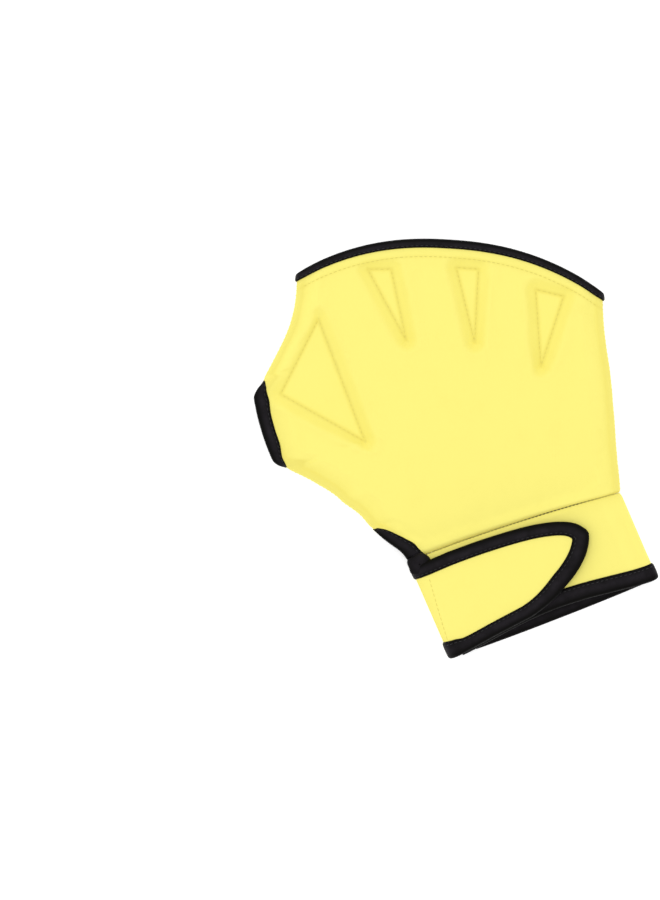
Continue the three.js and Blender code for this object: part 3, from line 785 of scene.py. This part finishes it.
# %% [markdown]
# The band round the wrist is one strip of the same cloth. It starts on the back, runs over the fold
# at the little finger's side and comes back under the palm, so its grid runs over the same skin, below
# the wrist seam: u from 0 up to 2 on the back, then from 2 down to the strap's lap on the palm.

# %% Wrist band
band_rows, band_counts = 61, (150, 14, 130)
# Painted shade near a rim: its share and run.
rim_shade_share, rim_shade_run = 0.4, 2 * mm
peek_power = 1.2
lap_width = float(row_width(np.array(mid_cuff))) - tape_leg - zone_length - fold_radius
lap_share = (strap_lap - tape_leg - zone_length) / lap_width


def peek(share):
    """How far the back hem lies inside the palm hem: nothing at both sides, full in the middle."""
    return hem_peek * np.sin(np.pi * np.clip(share, 0, 1)) ** peek_power


def band_path(back, fold, palm):
    """Side, 1 or -1, and u of each column round the band, with the little-finger fold in the middle."""
    over = np.linspace(1, 2, fold)
    u = np.concatenate([np.linspace(0, 1, back, endpoint=False), over,
                        over[::-1][1:], np.linspace(1, lap_share, palm + 1)[1:]])
    side = np.where(np.arange(len(u)) < back + fold, 1, -1)
    return side, u


def band_face(side, u, at):
    """The face of the back or of the palm, whichever the column lies on."""
    (back, back_normal), (palm, palm_normal) = face(1, u, at), face(-1, u, at)
    on_back = (side > 0)[..., None]
    return np.where(on_back, back, palm), np.where(on_back, back_normal, palm_normal)


def hem_place(side, u, depth):
    """The row place a depth inside the hem, and on the back inside the palm's hem that peeks out."""
    return from_mouth(u, -1, depth + np.where(side > 0, peek(u), 0))


def rim_painted_shade(depth):
    """Painted shade in the fold attribute near a rim: a share that falls off as e to the minus depth over
    a run.
    """
    return rim_shade_share * np.exp(-depth / rim_shade_run)


def wrist_band():
    """The band's rows run from the wrist seam down to just inside the bend of the hem's tape."""
    side, u = band_path(*band_counts)
    last = hem_place(side, u, tape_leg)
    at = mix(-seam_gap / cuff_length, last[None, :], np.linspace(0, 1, band_rows)[:, None])
    side, u = np.broadcast_to(side, at.shape), np.broadcast_to(u, at.shape)
    # Painted shade near the wrist seam and the hem.
    fold = rim_painted_shade(np.minimum(-at, 1 + at) * cuff_length)
    return cloth_piece("wrist_cloth", *band_face(side, u, at), fold)


wrist_cloth = wrist_band()
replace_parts(wrist_cloth, "wrist_band")

# %% [markdown]
# The closing strap starts with a lap under the palm, turns up round the thumb side in a half circle,
# and lies over the band as a tongue with a slanted tip. Its own grid runs along that path.

# %% Strap
tongue_columns = ("top", "hem", "dip", "rise")
tongue_rows = [
    (0.17, 0.14, -0.010, 0.000),
    (0.30, 0.22, -0.012, 0.000),
    (0.43, 0.30, -0.008, 0.000),
    (0.54, 0.39, 0.003, 0.004),
    (0.64, 0.47, 0.032, 0.036),
    (0.72, 0.54, 0.085, 0.092),
    (0.785, 0.605, 0.185, 0.170),
]
tongue = dict(zip(tongue_columns, np.array(tongue_rows).T), at=np.arange(len(tongue_rows)) + 1.0)
tip_bulge = 0.036
tongue_end = float(len(tongue_rows))
corner_run, corner_cut = 0.6, 0.11
# Painted shade where the strap turns from the light.
turn_shade = 0.5


def strap_down(along, dip, rise, cross):
    """How far down the cuff a strap point is, from its hem edge, cross 0, to its top edge, 1."""
    hem = 1 - (peek(along) + tape_leg) / cuff_length - rise
    return mix(hem, (strap_drop + tape_leg) / cuff_length + dip, cross)


def strap_skin(way, cross):
    """Outer face of the strap. way is -2 to -1 along the lap, -1 to 0 round the fold, on a half circle
    from pointing down to pointing up, 0 to 1 from the fold to the tongue's first line, and then counts
    its lines. Near the tip the lines bow out."""
    way, cross = np.broadcast_arrays(np.asarray(way, float), np.asarray(cross, float))
    turn = np.clip(way + 1, 0, 1) * np.pi - np.pi / 2
    inward = strap_radius * (1 - np.cos(turn))
    down = strap_down(np.where(turn > 0, inward / row_width(np.array(mid_cuff)), 0), 0, 0, cross)
    edge = edge_direction(-down, "left")
    away = (strap_lap - 2 * gap - strap_radius) * np.clip(-1 - way, 0, 1)
    fold_xy = plan_point(inward + away, -down)
    bulge = tip_bulge * np.clip(way - (tongue_end - 1), 0, 1)
    flat_way = np.maximum(way, 1)
    along = mix(smooth(tongue, "hem", flat_way), smooth(tongue, "top", flat_way), cross)
    along = along + bulge * 4 * cross * (1 - cross)
    dip, rise = smooth(tongue, "dip", flat_way), smooth(tongue, "rise", flat_way)
    tongue_down = strap_down(along, dip, rise, cross)
    tongue_xy = plan_point(along * row_width(-tongue_down), -tongue_down)
    start_xy = plan_point(np.full(way.shape, strap_radius), -down)
    share = np.clip(way, 0, 1)[..., None]
    xy = np.where((way <= 0)[..., None], fold_xy, mix(start_xy, tongue_xy, share))
    height = tape_leg + strap_radius * (1 + np.sin(turn))
    outward = np.stack([-edge[..., 1], edge[..., 0]], -1) * np.cos(turn)[..., None]
    normal = np.concatenate([outward, np.sin(turn)[..., None]], -1)
    return np.concatenate([xy, height[..., None]], -1), normal


def strap_ways():
    """Stations along the strap, spaced to suit the lap, the fold, the tongue and its round corners."""
    corner = tongue_end - corner_run
    spans = ((-2, -1, 10), (-1, 0, 40), (0, corner, 130))
    straight = [np.linspace(*span, endpoint=False) for span in spans]
    return np.concatenate([*straight, corner + corner_run * np.sin(np.linspace(0, np.pi / 2, 21))])


def strap_cut(way):
    """How far the tongue's two corners are rounded off, as a share of its width: a quarter ellipse."""
    t = np.clip((way - tongue_end) / corner_run + 1, 0, 1)
    return corner_cut * (1 - np.sqrt(1 - t * t))


def strap_piece():
    """The strap's yellow is painted deeper at its rims, and where it turns away from the light at the
    fold: painted shade, both.
    """
    way, cross = np.meshgrid(strap_ways(), np.linspace(0, 1, band_rows), indexing="ij")
    cross = mix(strap_cut(way), 1 - strap_cut(way), cross)
    outer, normal = strap_skin(way, cross)
    # Painted shade at the rims and on the turn of the fold.
    fold = rim_painted_shade(np.minimum(cross, 1 - cross) * cuff_length)
    return cloth_piece("strap_cloth", outer, normal, fold + turn_shade * np.clip(1 - normal[..., 2], 0, 1))


strap_cloth = strap_piece()
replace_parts(strap_cloth, "strap")

# %% [markdown]
# Binding tape is folded over a raw edge and sewn through. Its section is a flat loop: an outer face
# that runs in along one side, round the edge and back along the other, its two hems tucked down on the
# cloth, and an inner face against the cloth. That section is carried along the edge.

# %% Tape section
leg_points, bend_points, inner_points = 12, 13, 6
tape_high = half_cloth + tape_leg
tuck, hem_step, hem_run = 0.12 * mm, 0.15 * mm, 0.14
puff, inner_past = 0.10 * mm, 0.2 * mm
sewn_at, sewn_width, sewn_dent = 0.24, 0.07, 0.13 * mm
# How narrow the painted highlight along each leg is.
ridge_highlight_power = 1.6
tape_lines = []


def tape_section(depth):
    """Distances out past the cloth's edge and heights off its middle, once round the section. A leg
    rises from its tucked hem, swells a little and dips where it is sewn; a half circle joins the legs."""
    s = np.linspace(0, 1, leg_points, endpoint=False)
    bend = tape_high - tape_leg
    leg_out = mix(-depth, -bend, s)
    swell = puff * np.sin(np.pi * s) - sewn_dent * bell(s - sewn_at, sewn_width)
    leg_up = mix(half_cloth + tuck + hem_step, tape_high, ease(s / hem_run)) + swell
    angle = np.linspace(np.pi / 2, -np.pi / 2, bend_points)
    round_out, round_up = -bend + tape_high * np.cos(angle), tape_high * np.sin(angle)
    inner_out = np.linspace(-depth, inner_past, inner_points)
    inner_up = np.full(inner_points, half_cloth + tuck)
    out = np.concatenate([leg_out, round_out, leg_out[::-1], inner_out, inner_out[::-1]])
    return out, np.concatenate([leg_up, round_up, -leg_up[::-1], -inner_up, inner_up])


def tape_piece(name, rim_place, deep_place, ring, nodes, full=1.0):
    """Carries the section along an edge. Over the cloth each point slides from the edge's middle line
    and normal to the deep ones; past the edge it goes straight on. full thins the tape towards its
    ends: its height over the cloth, and how far it stands out past the edge, are full times as much."""
    (rim, normal), (deep, deep_normal) = rim_place, deep_place
    edge, deep = rim - half_cloth * normal, deep - half_cloth * deep_normal
    depth = float(np.median(np.linalg.norm(edge - deep, axis=-1)))
    out, up = tape_section(depth)
    inside = np.clip(-out / depth, 0, 1)
    share = inside[None, :, None]
    full = np.broadcast_to(full, len(edge))[:, None, None]
    past = unit(edge - deep)[:, None, :] * np.maximum(out, 0)[None, :, None] * full
    middle = mix(edge[:, None, :], deep[:, None, :], share) + past
    over = (np.sign(up) * np.maximum(np.abs(up) - half_cloth, 0))[None, :, None]
    height = up[None, :, None] - over * (1 - full)
    points = middle + unit(mix(normal[:, None, :], deep_normal[:, None, :], share)) * height
    index = numbers(*points.shape[:2])
    faces = [quads(index, close_rows=ring, close_columns=True)]
    if not ring:
        faces += [index[:1, ::-1], index[-1:]]
    girth = run_along(np.stack([out, up], -1))
    uv = np.stack(np.broadcast_arrays(run_along(edge)[:, None], girth[None, :]), -1)
    # Painted highlight, full along the middle of each leg where it faces the light.
    ridge_highlight = np.broadcast_to(np.sin(np.pi * inside) ** ridge_highlight_power, index.shape)
    piece = mesh_piece(name, points, faces, satin_tape, {"ridge_highlight": ridge_highlight}, uv)
    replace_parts(piece, *nodes)
    sewn = np.argmin(np.abs(out[:leg_points] + depth * (1 - sewn_at)))
    for line in (sewn, 2 * leg_points + bend_points - 1 - sewn):
        lift = np.sign(up[line]) * unit(mix(normal, deep_normal, share[:, line]))
        tape_lines.append((points[:, line], lift))
    return piece


print("a tape stands", round(1000 * tape_high, 2), "mm off the middle of its cloth")

# %% [markdown]
# Two tapes follow a mouth: one runs once round the finger edge, one along the wrist hem. Four more
# bind the lips of the thumb hole and of the wrist slit, and run out where the lips close to a fold.

# %% Tapes along the edges
finger_middle, hem_counts, side_steps = 261, (170, 14, 150), 161
hem_extra, hem_wide_from, hem_wide_run = 2.0 * mm, 0.3, 0.25


def mouth_tape(side, u, edge, width, out):
    """The rim and the deep line of a tape on the finger edge, 1, or the hem, -1."""
    rim_at, deep_at = (from_mouth(u, edge, out + d) for d in (tape_leg, width))
    return band_face(side, u, rim_at), band_face(side, u, deep_at)


def finger_tape():
    """A ring: along the back from left to right, then along the palm from right to left."""
    u = across_panel(panel_strip, finger_middle)
    side = np.repeat([1, -1], len(u))
    u = np.concatenate([u, u[::-1]])
    rim_place, deep_place = mouth_tape(side, u, 1, finger_tape_width, 0)
    return tape_piece("finger_tape", rim_place, deep_place, True, ["finger_binding"])


def hem_tape():
    """The hem's tape. Past the tongue it is sewn on wider over the back, as the photograph shows, and
    on the palm it narrows to its usual width within the fold."""
    side, u = band_path(*hem_counts)
    out = np.where(side > 0, peek(u), 0)
    wider = hem_extra * np.where(side > 0, ease((u - hem_wide_from) / hem_wide_run), ease(u - 1))
    rim_place, deep_place = mouth_tape(side, u, -1, tape_width + wider, out)
    return tape_piece("hem_tape", rim_place, deep_place, False, ["hem_binding"])


def by_place(*rows):
    """A table of row places and how deep the tape reaches there, 1 being the whole strip of the edge."""
    return dict(zip(("at", "deep"), np.array(rows).T))


thumb_depth = by_place((0.419, 0.10), (0.43, 0.25), (0.44, 0.50), (0.45, 0.66), (0.475, 0.85),
                       (0.50, 1.0), (0.57, 1.03), (0.62, 1.15), (0.637, 1.08), (0.65, 0.84),
                       (0.66, 0.60), (0.67, 0.34), (0.682, 0.06))
slit_depth = by_place((-(strap_drop - gap) / cuff_length, 1.5), (0.0, 1.42), (0.035, 1.2), (0.075, 1.04),
                      (0.10, 0.86), (0.115, 0.70), (0.127, 0.40))
end_taper = 9 * mm


def side_tape(name, side, depths, node, end_full):
    """A tape on the left edge of one panel, along the thumb hole or the wrist slit. Past the strip,
    its depth goes on over the panel. Each end that runs out at a fold thins over the end taper, down
    to end_full of its height."""
    at = np.linspace(depths["at"][0], depths["at"][-1], side_steps)
    deep = smooth(depths, "deep", at)
    u = np.where(deep > 1, (deep - 1) * zone_length / row_width(at), deep - 1)
    rim_place = face(side, np.full(side_steps, -1.0), at)
    run = run_along(rim_place[0])
    to_end = np.where(deep[0] < 1, np.minimum(run, run[-1] - run), run[-1] - run)
    full = mix(end_full, 1, ease(to_end / end_taper))
    return tape_piece(name, rim_place, face(side, u, at), False, [node], full)


finger_edge_tape = finger_tape()
hem_edge_tape = hem_tape()
thumb_tape_back = side_tape("thumb_tape_back", 1, thumb_depth, "thumb_binding_back", 0.4)
thumb_tape_palm = side_tape("thumb_tape_palm", -1, thumb_depth, "thumb_binding_palm", 0.4)
slit_tape_back = side_tape("slit_tape_back", 1, slit_depth, "slit_binding_back", 0.75)
slit_tape_palm = side_tape("slit_tape_palm", -1, slit_depth, "slit_binding_palm", 0.25)

# %% [markdown]
# The strap's tape runs up its top edge, round the tip and back along its hem edge. It was sewn on by
# hand, so it isn't equally wide: its extra widths are bells along the rim.

# %% Tape round the strap
rim_extra, bunch_extra, heel_extra = 0.4 * mm, 1.6 * mm, 2.3 * mm
bunch_runs, heel_way, heel_run = (0.7, 1.9), -0.4, 0.55
soft_reach, soft_from, soft_run = 6, 0.3, 0.5
tip_points = 41


def soften(line, reach):
    """A line's points averaged with their neighbours under a bell as wide as reach points."""
    weights = bell(np.arange(-2 * reach, 2 * reach + 1), reach)
    padded = np.pad(line, ((2 * reach, 2 * reach), (0, 0)), "edge")
    return np.stack([np.convolve(part, weights / weights.sum(), "valid") for part in padded.T], -1)


def strap_tape():
    """The strap's rim: its top edge, its tip and its hem edge. Out past the rim is the normal crossed
    with the direction along it, averaged over both neighbours. The tape was bunched round the tip,
    so it lies wider there: its extra width falls off as a bell along the rim. It is wider too where
    the hem edge rounds the fold, and on the tongue its inner line is softened."""
    ways, cross = strap_ways(), np.linspace(corner_cut, 1 - corner_cut, tip_points)
    way = np.concatenate([ways, np.full(tip_points - 2, tongue_end), ways[::-1]])
    across = np.concatenate([1 - strap_cut(ways), cross[::-1][1:-1], strap_cut(ways)[::-1]])
    bunch = bell(tongue_end - way, np.where(across > 0.5, *bunch_runs))
    heel = np.where(across > 0.5, 0, bell(way - heel_way, heel_run))
    rim, normal = strap_skin(way, across)
    middle = rim - half_cloth * normal
    steps = np.diff(middle, axis=0)
    before, after = np.vstack([steps[:1], steps]), np.vstack([steps, steps[-1:]])
    sides = [unit(np.cross(normal, step)) for step in (before, after)]
    past = unit(sides[0] + sides[1])
    past = past / np.einsum("ij,ij->i", past, sides[0])[:, None]
    width = tape_width - tape_leg + rim_extra + bunch_extra * bunch + heel_extra * heel
    deep = rim - past * width[:, None]
    deep = mix(deep, soften(deep, soft_reach), ease((way - soft_from) / soft_run)[:, None])
    return tape_piece("strap_tape", (rim, normal), (deep, normal), False, ["strap_binding"])


strap_edge_tape = strap_tape()

# %% [markdown]
# Where the slit meets the strap, the tape's end is folded on itself. A pillow with a rippled side
# stands for the folds. It is a ball whose sines and cosines are raised to a power under 1.

# %% Folded tape end
bunch_centre = np.array([-19.4, -57.0, 12.3]) * mm
bunch_sizes = np.array([5.8, 5.1, 3.2]) * mm
bunch_turn = np.array([(0.94, 0.34, 0.0), (-0.34, 0.94, 0.0), (0.0, 0.0, 1.0)])
bunch_points, bunch_pole = (64, 33), 0.02
pillow_power, ripple, ripple_waves, ripple_twist = 0.75, 0.04, 5, 2.5
# Painted highlight: its strength and the angle round the pillow that it faces.
highlight_share, highlight_angle = 0.8, 0.9


def swollen(wave):
    """A sine or cosine raised to a power under 1, with its sign kept."""
    return np.sign(wave) * np.abs(wave) ** pillow_power


def tape_bunch():
    """The radius of the pillow is 1 plus a cosine of five waves round it, which twist with height. Its
    black is painted greyest at its poles and on the side at one angle round it: a painted highlight."""
    around, down = np.meshgrid(np.linspace(0, 2 * np.pi, bunch_points[0], endpoint=False),
                               np.linspace(bunch_pole, np.pi - bunch_pole, bunch_points[1]), indexing="ij")
    waves = np.cos(ripple_waves * around + ripple_twist * np.cos(down))
    flat = (1 + ripple * np.sin(down) ** 2 * waves) * swollen(np.sin(down))
    pillow = np.stack([flat * swollen(np.cos(around)), flat * swollen(np.sin(around)),
                       swollen(np.cos(down))], -1)
    index = numbers(*around.shape)
    faces = [quads(index, close_rows=True), index[None, ::-1, 0], index[None, :, -1]]
    # Painted highlight.
    ridge_highlight = highlight_share * (1 - np.sin(down) ** 2 * (0.5 - 0.5 * np.cos(around - highlight_angle)))
    uv = np.stack([around * bunch_sizes[0], down * bunch_sizes[2]], -1)
    points = bunch_centre + (pillow * bunch_sizes) @ bunch_turn
    return mesh_piece("tape_bunch", points, faces, satin_tape, {"ridge_highlight": ridge_highlight}, uv)


bunched_end = tape_bunch()

# %% [markdown]
# Every thread that shows is built: a short bead that stands out of the cloth in its middle and dives in
# at both ends. All threads of one seam are a single mesh, worked out at once as an array of stitch by
# ring by corner.

# %% One thread
bead_rings, bead_corners = 7, 6
bead_lift, bead_end = 0.3, 1.04
look_ahead = 0.4 * mm


def thread_finish(name, colour, rough):
    """Plied thread: a noise for the fibres, with painted shade between them."""
    make = Finish(name)
    fibres = make.noise(Vector=make.place(), Scale=3000.0)
    # Painted shade between the fibres.
    fibre_gap_shade = tuple(0.7 * part for part in colour[:3]) + (1,)
    normal = make.bump(Height=fibres, Strength=0.3, Distance=0.05 * mm)
    return make.done(Base_Color=make.blend(fibres, fibre_gap_shade, colour), Roughness=rough, Normal=normal)


def seam_thread_finish():
    """The wrist seam's thread, yellow where it has sunk in and dark olive where it stands open."""
    make = Finish("seam_thread")
    colour = make.blend(make.reading("tone"), (0.62, 0.54, 0.11, 1), (0.10, 0.085, 0.012, 1))
    return make.done(Base_Color=colour, Roughness=0.6)


yellow_thread = thread_finish("yellow_thread", (0.82, 0.72, 0.15, 1), 0.7)
seam_thread = seam_thread_finish()
black_thread = thread_finish("black_thread", (0.010, 0.009, 0.011, 1), 0.7)


def along_line(points, normals, pitch):
    """Centre, direction and normal of each stitch along a line, evenly spaced."""
    run = run_along(points)
    count = max(int(run[-1] / pitch), 1)
    middle = (np.arange(count) + 0.5) * run[-1] / count

    def at(values, places):
        return np.stack([np.interp(places, run, part) for part in values.T], -1)

    ahead = at(points, middle + look_ahead) - at(points, middle - look_ahead)
    return at(points, middle), unit(ahead), unit(at(normals, middle))


def thread_piece(name, stitches, finish, length, radius, tone=None):
    """Threads as rings along t from -1 to 1: the middle of a ring stands radius times the bead's lift
    less t squared above the cloth, and its size is radius times the root of its end less t squared."""
    centre, ahead, up = (np.concatenate(parts)[:, None, None, :] for parts in zip(*stitches))
    t = np.linspace(-1, 1, bead_rings)[None, :, None, None]
    angle = np.linspace(0, 2 * np.pi, bead_corners, endpoint=False)[None, None, :, None]
    aside = np.cross(ahead, up)
    size = radius * np.sqrt(bead_end - t * t)
    points = centre + ahead * t * length / 2 + up * radius * (bead_lift - t * t)
    points = points + size * (np.cos(angle) * aside + np.sin(angle) * up)
    index = numbers(*points.shape[:3])
    ahead_ring, next_corner = index[:, 1:], np.roll(index, -1, 2)
    sides = np.stack([index[:, :-1], next_corner[:, :-1], np.roll(ahead_ring, -1, 2), ahead_ring], -1)
    faces = [sides.reshape(-1, 4), index[:, 0, ::-1], index[:, -1]]
    tones = {} if tone is None else {"tone": np.broadcast_to(tone[:, None, None], index.shape)}
    return mesh_piece(name, points, faces, finish, tones)


print("thread finishes:", ", ".join(f.name for f in (yellow_thread, seam_thread, black_thread)))

# %% [markdown]
# Each seam is a line on a face, and its stitches are spaced along it: round the webs, inside the
# finger mouth, along the wrist, across the strap's root, along every tape and up the side folds.

# %% Threads
stitch_pitch, stitch_length, stitch_radius = 2.4 * mm, 2.1 * mm, 0.17 * mm
seam_pitch, seam_length, seam_radius = 1.9 * mm, 1.7 * mm, 0.26 * mm
side_pitch, side_length, side_radius = 2.2 * mm, 2.2 * mm, 0.22 * mm
tape_stitch_length = 1.8 * mm
corner_free = 0.02
web_steps, root_steps, side_line_steps, row_steps = 60, 80, 300, 400


def web_stitches(side, corners, pitch):
    """Stitches round one web, side by side with its corners left free."""
    steps = np.linspace(corner_free, 1 - corner_free, web_steps)[:, None]
    places = [places_of(mix(a, b, steps)) for a, b in sides_of(corners)]
    return [along_line(*face(side, *place), pitch) for place in places]


row_u = np.linspace(0.0, 1.0, row_steps)
thread_rows = []
for side in (1, -1):
    for corners in web_corners.values():
        thread_rows += web_stitches(side, corners, stitch_pitch)
    row = face(side, row_u, from_mouth(row_u, 1, mouth_row_depth))
    thread_rows.append(along_line(*row, stitch_pitch))
panel_threads = thread_piece("panel_threads", thread_rows, yellow_thread,
                             stitch_length, stitch_radius)

seam_tone = {"at": np.array([0, 0.1, 0.3, 0.5, 0.62, 0.8, 0.9, 1.0]),
             "dark": np.array([0.5, 0.3, 0.45, 0.65, 1.0, 0.9, 0.35, 0.2])}
seam_rows = [along_line(*face(side, row_u, 0 * row_u), seam_pitch) for side in (1, -1)]
seam_dark = np.concatenate([smooth(seam_tone, "dark", np.linspace(0, 1, len(row[0])))
                            for row in seam_rows])
seam_threads = thread_piece("wrist_seam_threads", seam_rows, seam_thread,
                            seam_length, seam_radius, seam_dark)

root_way, root_cross = np.linspace((-0.24, 0.18), (-0.05, 0.84), root_steps).T
root_row = along_line(*strap_skin(root_way, root_cross), stitch_pitch)
root_threads = thread_piece("strap_root_threads", [root_row], yellow_thread,
                            stitch_length, stitch_radius)

tape_rows = [along_line(*line, stitch_pitch) for line in tape_lines]
thread_piece("tape_threads", tape_rows, black_thread, tape_stitch_length, stitch_radius)


def side_seam_stitches(end, low, high, pitch):
    """Stitches that cross the joint of back and palm, halfway up the side fold."""
    at = np.linspace(low, high, side_line_steps)
    u = np.full(side_line_steps, -1.0 if end == "left" else 2.0)
    (top, normal), (under, _) = skin(1, u, at), skin(-1, u, at)
    centre, _, up = along_line((top + under) / 2, normal, pitch)
    return centre, np.broadcast_to((0.0, 0.0, 1.0), centre.shape), up


side_spans = (("right", 0.01, 0.97), ("left", 0.145, 0.395), ("left", 0.705, 0.97))
side_rows = [side_seam_stitches(*span, side_pitch) for span in side_spans]
side_threads = thread_piece("side_seam_threads", side_rows, yellow_thread,
                            side_length, side_radius)

# %% [markdown]
# The pad under the tongue is a patch of hooks on a patch of loops. The tongue covers it whole, but it
# fills the space that keeps the tongue off the band.

# %% Fastening pad
pad_long, pad_wide, pad_corners, pad_power = 28 * mm, 22 * mm, 96, 6
pad_heights = np.array([0, 0.0, 0.08, 0.3, 0.46, 0.5, 0.54, 0.7, 0.92, 1.0, 1.0])
pad_shares = np.array([0.5, 0.975, 0.99, 1, 1, 0.975, 1, 1, 0.99, 0.975, 0.5])


def pad_finish():
    """Short pile: one noise for the tufts."""
    make = Finish("hook_and_loop")
    tuft = make.noise(Vector=make.place(), Scale=1400.0, Detail=3.0)
    colour = make.blend(tuft, (0.010, 0.010, 0.012, 1), (0.045, 0.045, 0.050, 1))
    normal = make.bump(Height=tuft, Strength=0.8, Distance=0.3 * mm)
    return make.done(Base_Color=colour, Roughness=0.92, Normal=normal)


def pad_piece():
    """A rounded slab: a superellipse outline, shrunk towards both faces, with a groove between hooks
    and loops."""
    angle = np.linspace(0, 2 * np.pi, pad_corners, endpoint=False)
    round_xy = np.stack([np.cos(angle), np.sin(angle)], -1)
    corner = np.sum(np.abs(round_xy) ** pad_power, -1, keepdims=True) ** (-1 / pad_power)
    right, left = row_end(np.array(mid_cuff), "right"), row_end(np.array(mid_cuff), "left")
    ahead = unit(right - left)
    turned = round_xy * corner * (pad_long / 2, pad_wide / 2) @ np.array([ahead, [-ahead[1], ahead[0]]])
    rings = turned[None] * pad_shares[:, None, None] + pad_on_plan
    tall = np.broadcast_to(mix(pad_low[2], pad_high[2], pad_heights)[:, None, None], rings[..., :1].shape)
    points = np.concatenate([rings, tall], -1)
    index = numbers(*points.shape[:2])
    faces = [quads(index, close_columns=True), index[:1, ::-1], index[-1:]]
    return mesh_piece("fastening_pad", points, faces, pad_finish())


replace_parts(pad_piece(), "hook_pad")

# %% [markdown]
# Each is declared with the size that its own middle surface has when it is laid flat, so the frame's
# own measurement can confirm that nothing stretched.


# %% [markdown]
# The glove lies on a plain white surface under one large soft light, as in a product picture, and the
# camera looks straight down from far enough that height hardly shows.

# %% Floor, light and camera
floor_size, floor_height = 6.0, -0.05 * mm
light_place, light_size, light_power = (-0.35, 0.5, 1.9), 1.8, 9
sky_strength = 1.0

floor_mesh = bpy.data.meshes.new("floor")
square = np.array([(-1, -1), (1, -1), (1, 1), (-1, 1)]) * floor_size / 2
floor_points = np.column_stack([square, np.full(4, floor_height)])
floor_mesh.from_pydata(floor_points.tolist(), [], [(0, 1, 2, 3)])
floor_mesh.materials.append(Finish("white_floor").done(
    Base_Color=(0.93, 0.93, 0.93, 1), Roughness=0.9, Specular_IOR_Level=0.1,
    Emission_Color=(1, 1, 1, 1), Emission_Strength=0.40))
floor = add_object("floor", floor_mesh)

lamp = bpy.data.lights.new("overhead", "AREA")
lamp.size, lamp.energy = light_size, light_power
light = add_object("overhead", lamp)
light.location = light_place
east, north, up = light_place
light.rotation_euler = (np.arctan2(np.hypot(east, north), up), 0, np.arctan2(east, -north))
bpy.context.scene.view_settings.view_transform = "Standard"
world = bpy.data.worlds.new("studio")
world.use_nodes = True
sky = world.node_tree.nodes["Background"].inputs
sky["Color"].default_value, sky["Strength"].default_value = (1, 1, 1, 1), sky_strength
bpy.context.scene.world = world

pixel = 0.5 * mm
frame_height = 900 * pixel
image_middle, glove_middle = (330, 450), (456, 449.1)
camera_height, sensor = 1.6, 36.0
lens = bpy.data.cameras.new("camera")
lens.sensor_width = sensor
lens.lens = sensor * camera_height / frame_height
camera = add_object("camera", lens)
camera.location = ((image_middle[0] - glove_middle[0]) * pixel,
                   (glove_middle[1] - image_middle[1]) * pixel, camera_height)
bpy.context.scene.camera = camera
print("lens", round(lens.lens, 1), "mm")
